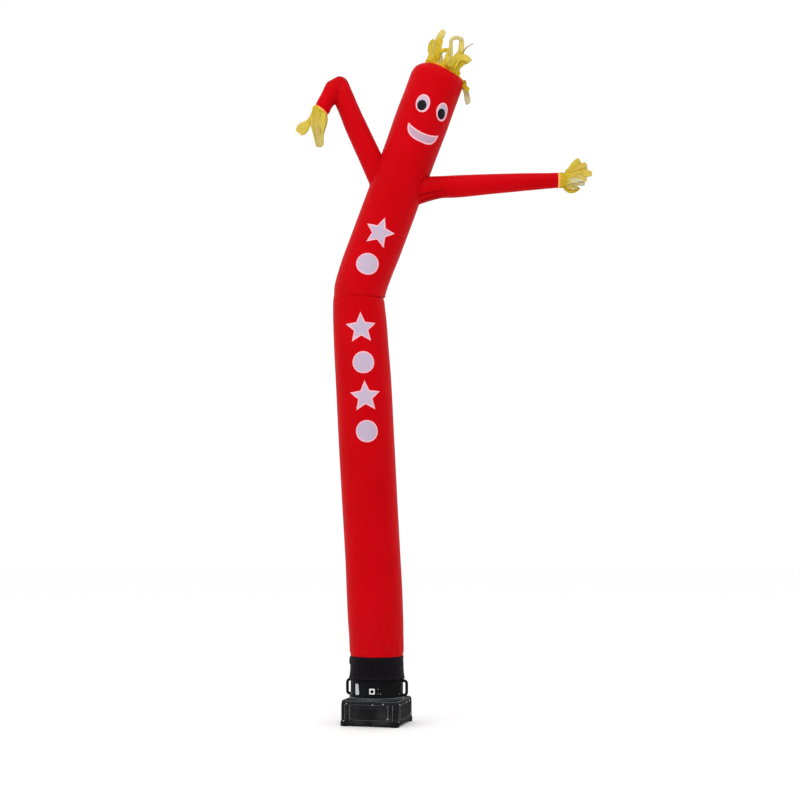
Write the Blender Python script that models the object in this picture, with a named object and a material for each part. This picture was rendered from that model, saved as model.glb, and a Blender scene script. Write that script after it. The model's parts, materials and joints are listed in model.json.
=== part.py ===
"""Inflatable air dancer standing on its floor blower.

Metres, +Z up. The origin is on the ground under the middle of the blower. The dancer
faces -Y and its sleeves spread along X.
"""
import math
from collections import namedtuple

import bmesh
import bpy
from mathutils import Matrix, Vector

# ---- driving dimensions ------------------------------------------------------------
CLOTH = 0.003            # modelled thickness of one cloth layer
RIBBON = 0.0018          # thickness of a streamer
PATCH = 0.002            # thickness of a sewn-on patch
GAP = 0.0003             # clearance between neighbouring pieces
SEAT = 0.00045           # clearance of a thin piece laid round another one

TUBE_SIDES = 36          # facets round the body tube
SLEEVE_SIDES = 20        # facets round a sleeve

RING_D = 0.455           # outer diameter of the blower's outlet ring
RING_WALL = 0.006
HOUSING = 0.510          # side of the square blower housing
HOUSING_TOP = 0.218
HOUSING_ROUND = 0.022    # rounding of its top edge
HOUSING_CORNER = 0.055   # radius of its upright corners
GROUND_CLEARANCE = 0.014
BLOWER_YAW = math.radians(-15)

BODY_LEAN = 20.1         # lean of the upper body, degrees towards +X
LOW_LEAN = -3.1          # lean of the lower body

# ---- cross-sections ----------------------------------------------------------------
# A section is an ellipse across a sleeve: its centre, the heading that the sleeve runs
# in (degrees from +X in the XZ plane), its width in that plane and its depth along Y.
Section = namedtuple("Section", "x y z heading width depth")

Body = namedtuple("Body", "x z lean width")
BODY_D = 0.482           # diameter that the body tube is cut to
KINK_LOW, KINK_HIGH = 3.55, 4.05
BODY = (
    Body(0.000, 0.542, 0.0, 0.4500),        # tucked into the collar
    Body(0.000, 0.582, 0.0, 0.4500),
    Body(0.000, 0.602, 0.0, 0.4630),
    Body(-0.001, 0.645, -1.5, 0.4680),
    Body(-0.005, 0.760, LOW_LEAN, 0.4740),
    Body(-0.011, 0.883, LOW_LEAN, 0.4820),
    Body(-0.022, 1.141, LOW_LEAN, 0.4860),
    Body(-0.035, 1.401, LOW_LEAN, 0.4820),
    Body(-0.065, 1.924, LOW_LEAN, 0.4860),
    Body(-0.095, 2.451, LOW_LEAN, 0.4900),
    Body(-0.123, 2.982, LOW_LEAN, 0.4900),
    Body(-0.141, 3.249, LOW_LEAN, 0.4840),
    Body(-0.156, 3.500, -2.5, 0.4750),
    Body(-0.163, 3.610, 0.0, 0.4660),       # the kink starts to pinch
    Body(-0.166, 3.680, 2.5, 0.4580),
    Body(-0.165, 3.712, 4.0, 0.4480),       # crease
    Body(-0.162, 3.734, 5.0, 0.4600),       # the upper body rolls over the crease
    Body(-0.157, 3.772, 7.5, 0.4640),
    Body(-0.146, 3.822, 10.5, 0.4640),
    Body(-0.127, 3.890, 15.0, 0.4640),
    Body(-0.091, 3.995, 18.0, 0.4680),
    Body(-0.033, 4.147, BODY_LEAN, 0.4720),
    Body(0.067, 4.420, BODY_LEAN, 0.4745),
    Body(0.205, 4.800, BODY_LEAN, 0.4760),
    Body(0.314, 5.097, BODY_LEAN, 0.4780),
    Body(0.387, 5.300, BODY_LEAN, 0.4860),
    Body(0.474, 5.539, BODY_LEAN, 0.4820),
    Body(0.525, 5.680, BODY_LEAN, 0.4840),
)

# The crown: each row lies ALONG the upper body's axis from the last body section and
# ACROSS it, to the viewer's right, and tips a little further over.
Crown = namedtuple("Crown", "along across lean width")
CROWN = (
    Crown(0.030, 0.002, BODY_LEAN, 0.4740),
    Crown(0.066, 0.008, BODY_LEAN + 1.0, 0.4500),
    Crown(0.090, 0.014, BODY_LEAN + 5.0, 0.4120),
    Crown(0.102, 0.021, BODY_LEAN + 8.0, 0.3680),
    Crown(0.108, 0.026, BODY_LEAN + 10.0, 0.3400),    # foot of the vent's neck
    Crown(0.124, 0.030, BODY_LEAN + 10.0, 0.3400),    # lip of the vent
)

# A sleeve's row gives the two edges of its outline as seen from the front, and how far
# towards the viewer the cloth lies there.
Edges = namedtuple("Edges", "inner_x inner_z outer_x outer_z y depth")
BENT_SLEEVE = (
    Edges(-0.018, 4.617, 0.174, 4.701, 0.000, 0.209),      # inside the body
    Edges(-0.157, 4.937, 0.030, 5.019, -0.025, 0.209),
    Edges(-0.290, 5.235, -0.110, 5.314, -0.040, 0.202),
    Edges(-0.352, 5.398, -0.184, 5.474, -0.045, 0.194),
    Edges(-0.367, 5.432, -0.234, 5.592, -0.050, 0.186),
    Edges(-0.374, 5.448, -0.280, 5.690, -0.050, 0.172),
    Edges(-0.380, 5.462, -0.318, 5.717, -0.050, 0.150),    # crease of the elbow
    Edges(-0.388, 5.463, -0.350, 5.713, -0.052, 0.168),
    Edges(-0.395, 5.456, -0.403, 5.690, -0.056, 0.178),
    Edges(-0.403, 5.445, -0.453, 5.662, -0.062, 0.178),
    Edges(-0.419, 5.412, -0.497, 5.566, -0.080, 0.166),
    Edges(-0.435, 5.369, -0.547, 5.452, -0.108, 0.139),
    Edges(-0.452, 5.346, -0.564, 5.429, -0.108, 0.139),    # wrist
)
LONG_SLEEVE = (
    Edges(0.190, 4.575, 0.270, 4.798, 0.000, 0.250),       # inside the body
    Edges(0.352, 4.556, 0.443, 4.812, -0.004, 0.240),      # flared where it joins
    Edges(0.430, 4.584, 0.480, 4.812, -0.014, 0.216),
    Edges(0.507, 4.610, 0.520, 4.810, -0.024, 0.202),
    Edges(0.734, 4.611, 0.734, 4.808, -0.072, 0.197),
    Edges(1.086, 4.630, 1.086, 4.802, -0.146, 0.172),
    Edges(1.346, 4.642, 1.346, 4.793, -0.200, 0.151),
    Edges(1.572, 4.653, 1.572, 4.783, -0.248, 0.130),
    Edges(1.600, 4.653, 1.600, 4.783, -0.248, 0.130),      # wrist
)
SLEEVE_DROP_IN = 1       # sections at the root that the body hides

# ---- streamers ---------------------------------------------------------------------
# Height of the strip that the streamers are slit from, how much of it laps over the
# cloth's edge, its clearance there, and its facets: each streamer leaves from one.
Strip = namedtuple("Strip", "height lap clear sides")
HAIR_STRIP = Strip(0.022, 0.010, 0.0021, 28)
HAND_STRIP = Strip(0.080, 0.022, 0.0004, 20)
RISE = 0.020             # straight stretch of a streamer at its root
WAY_STEPS = 2            # stations from one point of a streamer's way to the next
Streamer = namedtuple("Streamer", "turn width tip_width twist ways")
# turn: where it leaves the ring, degrees from the front towards the viewer's right.
# ways: points that it passes, in metres from the middle of the ring (x, y, z).


def body_sections():
    """Sections of the body tube from the collar to the lip of the vent. Round the kink,
    what the tube loses in width it gains in depth."""
    rows = []
    for b in BODY:
        depth = 2 * BODY_D - b.width if KINK_LOW < b.z < KINK_HIGH else b.width
        rows.append(Section(b.x, 0.0, b.z, 90 - b.lean, b.width, depth))
    lean = math.radians(BODY_LEAN)
    top = BODY[-1]
    for c in CROWN:
        x = top.x + c.along * math.sin(lean) + c.across * math.cos(lean)
        z = top.z + c.along * math.cos(lean) - c.across * math.sin(lean)
        rows.append(Section(x, 0.0, z, 90 - c.lean, c.width, c.width))
    return rows


def sleeve_sections(table, turned):
    """Sections of a sleeve from its outline's two edges; turned adds to each heading."""
    rows = []
    for e in table:
        dx, dz = e.outer_x - e.inner_x, e.outer_z - e.inner_z
        rows.append(Section((e.inner_x + e.outer_x) / 2, e.y, (e.inner_z + e.outer_z) / 2,
                            math.degrees(math.atan2(dz, dx)) + turned, math.hypot(dx, dz), e.depth))
    return rows


def frame_of(section, grow=0.0):
    """Matrix that carries a unit circle to the section, grown outwards by grow."""
    heading = math.radians(section.heading)
    across = Vector((-math.sin(heading), 0, math.cos(heading)))
    ahead = Vector((math.cos(heading), 0, math.sin(heading)))
    turn = Matrix((across, Vector((0, -1, 0)), ahead)).transposed().to_4x4()
    size = Matrix.Diagonal((section.width / 2 + grow, section.depth / 2 + grow, 1, 1))
    return Matrix.Translation((section.x, section.y, section.z)) @ turn @ size


# ---- making meshes and objects -----------------------------------------------------
def material(name, colour, roughness, metallic=0.0):
    made = bpy.data.materials.get(name)
    if made is None:
        made = bpy.data.materials.new(name)
        made.use_nodes = True
        shader = made.node_tree.nodes["Principled BSDF"]
        shader.inputs["Base Color"].default_value = (*colour, 1)
        shader.inputs["Roughness"].default_value = roughness
        shader.inputs["Metallic"].default_value = metallic
    return made


def red_nylon():
    return material("red_nylon", (0.72, 0.008, 0.020), 0.55)


def yellow_nylon():
    return material("yellow_nylon", (0.84, 0.60, 0.03), 0.50)


def black_nylon():
    return material("black_nylon", (0.018, 0.018, 0.020), 0.80)


def pale_nylon():
    return material("pale_nylon", (0.64, 0.56, 0.66), 0.55)


def pupil_nylon():
    return material("pupil_nylon", (0.012, 0.012, 0.014), 0.55)


def black_plastic():
    return material("black_plastic", (0.022, 0.022, 0.025), 0.38)


def foot_rubber():
    return material("foot_rubber", (0.010, 0.010, 0.010), 0.85)


def white_plastic():
    return material("white_plastic", (0.85, 0.85, 0.86), 0.40)


def grey_plastic():
    return material("grey_plastic", (0.48, 0.48, 0.51), 0.40)


def new_object(name, bm, finish=None, parent=None, smooth=True):
    """Object from a bmesh; with no finish it is a cutter, which is never built."""
    bmesh.ops.recalc_face_normals(bm, faces=bm.faces[:])
    mesh = bpy.data.meshes.new(name)
    bm.to_mesh(mesh)
    bm.free()
    if smooth:
        mesh.shade_smooth()
        mesh.set_sharp_from_angle(angle=math.radians(35))
    made = bpy.data.objects.new(name, mesh)
    bpy.context.scene.collection.objects.link(made)
    made.parent = parent
    if finish is None:
        made.hide_render = True
        made.display_type = "WIRE"
    else:
        mesh.materials.append(finish)
    return made


def boolean(target, cutter, operation):
    step = target.modifiers.new(f"{operation.lower()}_{cutter.name}", "BOOLEAN")
    step.operation = operation
    step.object = cutter
    return step


def sweep(frames, sides, closed_ring=False, in_triangles=True):
    """Carry a circle through the frames. closed_ring joins the last one to the first,
    which makes a hollow wall; otherwise both ends are capped."""
    bm = bmesh.new()
    ring = bmesh.ops.create_circle(bm, segments=sides, radius=1.0, matrix=frames[0])["verts"]
    edges = list({edge for vert in ring for edge in vert.link_edges})
    first = edges
    steps = list(frames) + ([frames[0]] if closed_ring else [])
    for before, after in zip(steps, steps[1:]):
        made = bmesh.ops.extrude_edge_only(bm, edges=edges)["geom"]
        verts = [item for item in made if isinstance(item, bmesh.types.BMVert)]
        fresh = set(verts)
        edges = [item for item in made if isinstance(item, bmesh.types.BMEdge)
                 and fresh.issuperset(item.verts)]
        bmesh.ops.transform(bm, matrix=after @ before.inverted(), verts=verts)
    if closed_ring:
        bmesh.ops.remove_doubles(bm, verts=bm.verts[:], dist=1e-5)
    else:
        for rim in (first, edges):
            bmesh.ops.contextual_create(bm, geom=rim)
    if in_triangles:
        bmesh.ops.triangulate(bm, faces=bm.faces[:], quad_method="SHORT_EDGE")
    return bm


def hollow(sections, sides, outside=0.0, thickness=CLOTH, in_triangles=True):
    """Wall of one cloth layer round the sections, open at both ends."""
    outer = [frame_of(s, outside) for s in sections]
    inner = [frame_of(s, outside - thickness) for s in reversed(sections)]
    return sweep(outer + inner, sides, True, in_triangles)


def solid(sections, sides, outside=0.0):
    """Filled form of the sections, for cutting."""
    return sweep([frame_of(s, outside) for s in sections], sides)


# ---- cloth -------------------------------------------------------------------------
def build_body(parent):
    return new_object("body_tube", hollow(body_sections(), TUBE_SIDES), red_nylon(), parent)


def build_sleeve(name, sections, body, body_space, parent):
    """A sleeve that ends on the body's outside, and the air hole behind it."""
    sleeve = new_object(name, hollow(sections, SLEEVE_SIDES), red_nylon(), parent)
    boolean(sleeve, body_space, "DIFFERENCE")
    bore = new_object(f"{name}_bore", solid(sections[:SLEEVE_DROP_IN + 2], SLEEVE_SIDES, -CLOTH))
    boolean(body, bore, "DIFFERENCE")
    return sleeve


# ---- streamers ---------------------------------------------------------------------
def smooth_way(points, steps):
    """Points along a smooth curve through the given ones."""
    way = [points[0]] + list(points) + [points[-1]]
    path = []
    for a, b, c, d in zip(way, way[1:], way[2:], way[3:]):
        for k in range(steps):
            t = k / steps
            path.append(0.5 * ((2 * b) + (c - a) * t + (2 * a - 5 * b + 4 * c - d) * t * t
                               + (3 * b - a - 3 * c + d) * t * t * t))
    path.append(points[-1])
    return path


def draw_out(bm, face, path, flat, streamer):
    """Draw one facet of the strip's free edge out along the path as a flat ribbon.
    flat is the direction of the ribbon's width at its root."""
    count = len(path) - 1
    ahead = (path[1] - path[0]).normalized()
    thick = flat.cross(ahead)
    middle = face.calc_center_median()
    corners = [((v.co - middle).dot(flat) > 0, (v.co - middle).dot(thick) > 0) for v in face.verts]
    for k in range(1, count + 1):
        ahead = (path[min(k + 1, count)] - path[k - 1]).normalized()
        flat = (flat - ahead * flat.dot(ahead)).normalized()
        share = k / count
        side = Matrix.Rotation(math.radians(streamer.twist) * share, 3, ahead) @ flat
        normal = side.cross(ahead)
        half = (streamer.width + (streamer.tip_width - streamer.width) * share) / 2
        face = bmesh.ops.extrude_discrete_faces(bm, faces=[face])["faces"][0]
        for vert, (right, back) in zip(face.verts, corners):
            vert.co = (path[k] + side * (half if right else -half)
                       + normal * (RIBBON / 2 if back else -RIBBON / 2))


def build_fringe(name, ring, streamers, strip, parent):
    """Strip round the end of a sleeve or the vent, with its free edge slit and drawn
    out into streamers."""
    place = frame_of(ring)
    ahead = (place.to_3x3() @ Vector((0, 0, 1))).normalized()
    middle = Vector((ring.x, ring.y, ring.z))
    ends = [ring._replace(x=ring.x + ahead.x * shift, z=ring.z + ahead.z * shift)
            for shift in (-strip.lap, strip.height - strip.lap)]
    bm = hollow(ends, strip.sides, strip.clear + CLOTH, in_triangles=False)
    bmesh.ops.recalc_face_normals(bm, faces=bm.faces[:])
    rim = [f for f in bm.faces if f.normal.dot(ahead) > 0.9]
    for s in streamers:
        turn = math.radians(s.turn)
        spot = place @ Vector((-math.sin(turn), math.cos(turn), 0))
        face = min(rim, key=lambda f: (f.calc_center_median() - spot).length)
        rim.remove(face)
        root = face.calc_center_median()
        outward = (root - middle - ahead * (root - middle).dot(ahead)).normalized()
        points = [root, root + ahead * RISE] + [middle + Vector(way) for way in s.ways]
        draw_out(bm, face, smooth_way(points, WAY_STEPS), ahead.cross(outward), s)
    bmesh.ops.triangulate(bm, faces=bm.faces[:], quad_method="SHORT_EDGE")
    return new_object(name, bm, yellow_nylon(), parent)


HAIR = (
    Streamer(-84, 0.040, 0.060, 60, ((-0.139, -0.02, 0.174), (-0.149, -0.03, 0.219), (-0.117, -0.04, 0.271),
                                     (-0.057, -0.05, 0.301))),
    Streamer(-58, 0.046, 0.060, 40, ((-0.099, -0.10, 0.189), (-0.061, -0.11, 0.269), (0.001, -0.12, 0.349))),
    Streamer(-34, 0.038, 0.042, 20, ((-0.017, -0.14, 0.149), (0.031, -0.142, 0.201), (0.019, -0.15, 0.251),
                                     (-0.029, -0.16, 0.267))),
    Streamer(-8, 0.040, 0.040, 12, ((0.043, -0.18, 0.139), (0.067, -0.185, 0.209), (0.105, -0.18, 0.262),
                                    (0.149, -0.165, 0.257), (0.171, -0.165, 0.204), (0.163, -0.17, 0.139))),
    Streamer(20, 0.050, 0.056, 40, ((0.109, -0.17, 0.074), (0.166, -0.175, 0.114), (0.223, -0.175, 0.107),
                                    (0.257, -0.17, 0.059))),
    Streamer(46, 0.034, 0.016, 50, ((0.161, -0.12, 0.074), (0.179, -0.12, 0.149), (0.251, -0.12, 0.227))),
    Streamer(70, 0.036, 0.040, 50, ((0.191, -0.06, 0.034), (0.216, -0.06, 0.099), (0.211, -0.06, 0.159))),
    Streamer(98, 0.036, 0.046, 85, ((0.200, 0.022, -0.026), (0.204, 0.018, -0.101), (0.209, 0.010, -0.191),
                                    (0.219, 0.000, -0.309))),
    Streamer(124, 0.038, 0.036, 30, ((0.176, 0.115, 0.049), (0.206, 0.120, 0.094), (0.239, 0.130, 0.089))),
    Streamer(148, 0.038, 0.036, 20, ((0.121, 0.160, 0.089), (0.141, 0.165, 0.169), (0.163, 0.180, 0.244))),
    Streamer(174, 0.038, 0.034, 15, ((0.051, 0.185, 0.129), (0.071, 0.190, 0.209), (0.111, 0.200, 0.284))),
    Streamer(202, 0.038, 0.038, 15, ((-0.029, 0.170, 0.159), (-0.019, 0.175, 0.239), (-0.034, 0.180, 0.314))),
    Streamer(228, 0.038, 0.034, 20, ((-0.099, 0.120, 0.179), (-0.094, 0.125, 0.249), (-0.059, 0.130, 0.319))),
    Streamer(254, 0.038, 0.036, 30, ((-0.134, 0.050, 0.179), (-0.139, 0.055, 0.239), (-0.099, 0.065, 0.304))),
)

# The left hand: all its streamers but one hang in a bunch that narrows downwards. Each
# row gives the middle of the bunch, from the middle of the wrist, and its radius.
Bunch = namedtuple("Bunch", "x z radius")
BUNCH = (Bunch(-0.033, -0.135, 0.068), Bunch(-0.034, -0.196, 0.048), Bunch(-0.022, -0.250, 0.037),
         Bunch(-0.011, -0.305, 0.026))
BUNCH_TURNS = {45: 0.00, 9: 0.04, -27: 0.02, -63: 0.03, -99: 0.00, -135: 0.03, -171: 0.01, 153: 0.02}
BUNCH_WIDTHS = (0.034, 0.014)


def bunched(turn, longer):
    """One streamer of the bunch, longer than the bunch's last row by the given length."""
    out = math.radians(turn)
    ways = [(b.x - b.radius * math.sin(out), -b.radius * math.cos(out), b.z) for b in BUNCH]
    x, y, z = ways[-1]
    return Streamer(turn, *BUNCH_WIDTHS, 0, ways[:-1] + [(x, y, z - longer)])


BLOWN_ASIDE = Streamer(81, 0.034, 0.062, 80, ((-0.100, -0.035, -0.102), (-0.142, -0.05, -0.128),
                                              (-0.172, -0.06, -0.172), (-0.176, -0.06, -0.240)))
HAND_LEFT = [BLOWN_ASIDE] + [bunched(turn, longer) for turn, longer in BUNCH_TURNS.items()]
HAND_RIGHT = (
    Streamer(-81, 0.034, 0.056, 80, ((0.115, 0.000, 0.084), (0.155, -0.005, 0.130), (0.186, -0.01, 0.172))),
    Streamer(-45, 0.034, 0.056, 50, ((0.120, -0.050, 0.068), (0.190, -0.080, 0.105), (0.240, -0.10, 0.132))),
    Streamer(-9, 0.034, 0.056, 25, ((0.125, -0.080, 0.026), (0.210, -0.110, 0.040), (0.288, -0.14, 0.043))),
    Streamer(27, 0.034, 0.046, 20, ((0.125, -0.080, -0.026), (0.190, -0.115, -0.030), (0.245, -0.15, -0.032))),
    Streamer(63, 0.030, 0.030, 20, ((0.102, -0.050, -0.068), (0.128, -0.080, -0.084), (0.158, -0.11, -0.076))),
    Streamer(99, 0.032, 0.036, 60, ((0.092, 0.000, -0.084), (0.110, -0.010, -0.108), (0.138, -0.02, -0.104),
                                    (0.152, -0.03, -0.072))),
    Streamer(153, 0.034, 0.040, 15, ((0.120, 0.068, -0.050), (0.180, 0.090, -0.060), (0.230, 0.11, -0.045))),
    Streamer(189, 0.034, 0.044, 15, ((0.120, 0.084, 0.000), (0.200, 0.100, 0.005), (0.275, 0.11, 0.020))),
    Streamer(225, 0.034, 0.044, 15, ((0.120, 0.068, 0.050), (0.170, 0.085, 0.080), (0.225, 0.09, 0.110))),
)


# ---- sewn-on patches ---------------------------------------------------------------
# A patch is placed by its turn round the body (degrees from the front to the viewer's
# right) and by how far up the axis from a section it sits.
EYE = (0.126, 0.166)             # width, height
EYE_UP, EYE_TILT = -0.141, 9.0
EYE_TURNS = {"left": -6.0, "right": 41.0}
PUPIL = (0.082, 0.096)
PUPIL_SHIFT = (-0.003, -0.020)   # from the middle of its eye: across, up
MOUTH_TURN, MOUTH_UP = 16.5, -0.343
MOUTH_HALF, MOUTH_DROP, MOUTH_THICK = 0.158, 0.134, 0.088
MOUTH_FULL = 3.4                 # how full the mouth is towards its tips
FACE_BASE_Z = 5.539              # height of the section that the face is measured from
MOTIF_LEVELS = (4.260, 3.980, 3.410, 3.110, 2.810, 2.510)   # none on the crease
MOTIF_TURN = 3.0
STAR_R, STAR_WAIST, DISC_R = 0.142, 0.46, 0.096
PATCH_MARGIN = 0.30              # length of body kept above and below while cutting
CUT_REACH = 0.060                # how far a patch's outline cuts in and out


def oval_points(width, height, count=24):
    return [(width / 2 * math.sin(a), height / 2 * math.cos(a))
            for a in (math.tau * k / count for k in range(count))]


def star_points():
    return [((STAR_R, STAR_R * STAR_WAIST)[k % 2] * math.sin(math.pi * k / 5),
             (STAR_R, STAR_R * STAR_WAIST)[k % 2] * math.cos(math.pi * k / 5)) for k in range(10)]


def smile_points(count=14):
    """Crescent between two bows, blunt at its tips."""
    lower = [(MOUTH_HALF * t, -MOUTH_DROP * (1 - abs(t) ** MOUTH_FULL))
             for t in (math.sin(math.pi * (k / count - 0.5)) for k in range(count + 1))]
    upper = [(MOUTH_HALF * t, -(MOUTH_DROP - MOUTH_THICK) * (1 - t * t))
             for t in (1 - 2 * k / count for k in range(1, count))]
    return lower + upper


def nearest_section(z):
    return min(body_sections(), key=lambda s: abs(s.z - z))


def patch_place(base, turn, up):
    """Matrix on the body's outside: X across the patch, Y up the axis, Z outwards."""
    lean = math.radians(90 - base.heading)
    axis = Vector((math.sin(lean), 0, math.cos(lean)))
    across = Vector((math.cos(lean), 0, -math.sin(lean)))
    angle = math.radians(turn)
    out = across * math.sin(angle) + Vector((0, -1, 0)) * math.cos(angle)
    middle = Vector((base.x, 0, base.z)) + axis * up + out * base.width / 2
    turned = Matrix((axis.cross(out), axis, out)).transposed().to_4x4()
    return Matrix.Translation(middle) @ turned


def wrapped(points, radius):
    """Outline laid round a cylinder, flattened to the plane that cuts it."""
    return [(radius * math.sin(x / radius), y) for x, y in points]


def build_patch(name, base, outline, turn, up, outside, finish, parent):
    """Thin piece of the body's own form, cut to the outline."""
    place = patch_place(base, turn, up)
    rows = body_sections()
    near = [k for k, s in enumerate(rows) if abs(s.z - place.translation.z) < PATCH_MARGIN]
    rows = rows[max(near[0] - 1, 0):near[-1] + 2]
    shell = new_object(name, hollow(rows, TUBE_SIDES, outside + PATCH, PATCH), finish, parent)
    bm = bmesh.new()
    verts = [bm.verts.new((x, y, -CUT_REACH * 2)) for x, y in wrapped(outline, base.width / 2)]
    face = bm.faces.new(verts)
    made = bmesh.ops.extrude_face_region(bm, geom=[face])["geom"]
    lifted = [item for item in made if isinstance(item, bmesh.types.BMVert)]
    bmesh.ops.translate(bm, verts=lifted, vec=(0, 0, CUT_REACH * 3))
    bmesh.ops.transform(bm, matrix=place, verts=bm.verts[:])
    boolean(shell, new_object(f"{name}_outline", bm, smooth=False), "INTERSECT")


def spin_outline(points, degrees, shift=(0.0, 0.0)):
    a = math.radians(degrees)
    return [(x * math.cos(a) - y * math.sin(a) + shift[0], x * math.sin(a) + y * math.cos(a) + shift[1])
            for x, y in points]


def build_face(parent):
    base = nearest_section(FACE_BASE_Z)
    for side, turn in EYE_TURNS.items():
        oval = spin_outline(oval_points(*EYE), EYE_TILT)
        build_patch(f"eye_{side}", base, oval, turn, EYE_UP, SEAT, pale_nylon(), parent)
        dot = spin_outline(oval_points(*PUPIL), EYE_TILT, PUPIL_SHIFT)
        build_patch(f"pupil_{side}", base, dot, turn, EYE_UP, 2 * SEAT + PATCH, pupil_nylon(), parent)
    build_patch("mouth", base, smile_points(), MOUTH_TURN, MOUTH_UP, SEAT, pale_nylon(), parent)


def build_motifs(parent):
    """Stars and discs in turn down the front."""
    disc = oval_points(2 * DISC_R, 2 * DISC_R, 20)
    for k, z in enumerate(MOTIF_LEVELS):
        base = nearest_section(z)
        up = (z - base.z) / math.sin(math.radians(base.heading))
        outline = disc if k % 2 else star_points()
        build_patch(f"motif_{k + 1}", base, outline, MOTIF_TURN, up, SEAT, pale_nylon(), parent)


# ---- collar and blower -------------------------------------------------------------
Level = namedtuple("Level", "z diameter")
COLLAR = (Level(0.385, 0.4770), Level(0.440, 0.4646), Level(0.540, 0.4575), Level(0.578, 0.4570))
TAB_TURN, TAB_Z, TAB_SIZE, TAB_PROUD = -86.0, 0.538, (0.050, 0.066), 0.010
RING = (Level(HOUSING_TOP + GAP, 0.472), Level(HOUSING_TOP + 0.011, 0.472),
        Level(HOUSING_TOP + 0.014, RING_D), Level(0.4800, RING_D))
BORE_D = RING_D - 2 * RING_WALL
RING_TURN = math.radians(180 / TUBE_SIDES)   # its facets meet the body's halfway
WELL_FLOOR = 0.045
FOOT_R, FOOT_H = 0.040, 0.042
FOOT_INSET = HOUSING / 2 - FOOT_R + 0.004    # from the middle, along X and Y
PLINTH = 0.330                   # side of the flat base that the housing rests on
LOUVRE = (0.250, 0.008, 0.007)   # length, height, depth
LOUVRE_LEVELS = (0.068, 0.088, 0.108, 0.128)
LOUVRE_SHIFT = -0.030            # along the face, from its middle
HANDLE_BAR = 0.0125              # radius
HANDLE_LEVELS = (0.247, 0.370)
HANDLE_OUT = 0.052
HANDLE_BEND = 0.026              # radius of its two corners
PLATE = (0.047, 0.047, 0.004)    # width, height, how far it stands out
PLATE_TURN, PLATE_Z = -9.5, 0.294
KNOB_R, KNOB_DEEP = 0.009, 0.010
LABEL_TURN, LABEL_Z, LABEL_THICK = -46.0, 0.312, 0.0015
LABEL = ((-0.024, 0.046), (0.010, 0.046), (0.022, -0.030), (0.020, -0.046), (-0.024, -0.046))


def upright(levels):
    """Sections of an upright round piece."""
    return [Section(0.0, 0.0, level.z, 90.0, level.diameter, level.diameter) for level in levels]


def build_collar(parent):
    rows = upright(COLLAR)
    new_object("collar", hollow(rows, TUBE_SIDES), black_nylon(), parent)
    base = Section(0.0, 0.0, TAB_Z, 90.0, RING_D, RING_D)
    half_w, half_h = TAB_SIZE[0] / 2, TAB_SIZE[1] / 2
    outline = [(-half_w, -half_h), (half_w, -half_h), (half_w, half_h), (-half_w, half_h)]
    tab = new_object("collar_tab", hollow(rows, TUBE_SIDES, SEAT + TAB_PROUD, TAB_PROUD),
                     black_nylon(), parent)
    bm = bmesh.new()
    bmesh.ops.create_cube(bm, size=1.0, matrix=patch_place(base, TAB_TURN, 0.0)
                          @ Matrix.Diagonal((*TAB_SIZE, 2 * CUT_REACH, 1)))
    boolean(tab, new_object("collar_tab_outline", bm, smooth=False), "INTERSECT")


def build_ring(parent):
    """Outlet ring with a flange at its foot and an even bore."""
    outer = [frame_of(s) for s in upright(RING)]
    inner = [frame_of(s) for s in upright([Level(RING[-1].z, BORE_D), Level(RING[0].z, BORE_D)])]
    made = new_object("blower_ring", sweep(outer + inner, TUBE_SIDES, True), black_plastic(), parent)
    made.rotation_euler.z = RING_TURN


def rounded_square(bm, side, corner, low, high):
    """Upright prism with rounded corners, standing on low."""
    made = bmesh.ops.create_cube(bm, size=1.0, matrix=Matrix.Translation((0, 0, (low + high) / 2))
                                 @ Matrix.Diagonal((side, side, high - low, 1)))["verts"]
    posts = [e for e in {e for v in made for e in v.link_edges}
             if abs(e.verts[0].co.z - e.verts[1].co.z) > 1e-4]
    bmesh.ops.bevel(bm, geom=posts, affect="EDGES", offset=corner, segments=4, profile=0.5, material=-1)


def build_housing(parent):
    bm = bmesh.new()
    rounded_square(bm, HOUSING, HOUSING_CORNER, GROUND_CLEARANCE, HOUSING_TOP)
    top = [e for e in bm.edges if all(v.co.z > HOUSING_TOP - 1e-4 for v in e.verts)]
    bmesh.ops.bevel(bm, geom=top, affect="EDGES", offset=HOUSING_ROUND, segments=3, profile=0.5, material=-1)
    housing = new_object("blower_housing", bm, black_plastic(), parent)

    bm = bmesh.new()
    rounded_square(bm, PLINTH, HOUSING_CORNER, 0.0, GROUND_CLEARANCE * 1.5)
    boolean(housing, new_object("plinth_form", bm, parent=parent), "UNION")

    bm = bmesh.new()
    bmesh.ops.create_cone(bm, cap_ends=True, segments=TUBE_SIDES, radius1=BORE_D / 2,
                          radius2=BORE_D / 2, depth=HOUSING_TOP,
                          matrix=Matrix.Translation((0, 0, WELL_FLOOR + HOUSING_TOP / 2))
                          @ Matrix.Rotation(RING_TURN, 4, "Z"))
    boolean(housing, new_object("well_form", bm, parent=parent), "DIFFERENCE")

    bm = bmesh.new()
    length, height, depth = LOUVRE
    for side in (-1, 1):
        for level in LOUVRE_LEVELS:
            spot = Matrix.Translation((LOUVRE_SHIFT, side * HOUSING / 2, level))
            bmesh.ops.create_cube(bm, size=1.0, matrix=spot @ Matrix.Diagonal((length, 2 * depth, height, 1)))
    boolean(housing, new_object("louvre_form", bm, parent=parent, smooth=False), "DIFFERENCE")

    bm = bmesh.new()
    for x in (-1, 1):
        for y in (-1, 1):
            bmesh.ops.create_cone(bm, cap_ends=True, segments=24, radius1=FOOT_R + GAP, radius2=FOOT_R + GAP,
                                  depth=FOOT_H, matrix=Matrix.Translation(
                                      (x * FOOT_INSET, y * FOOT_INSET, FOOT_H / 2 + GAP)))
    boolean(housing, new_object("foot_seats", bm, parent=parent), "DIFFERENCE")


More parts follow.
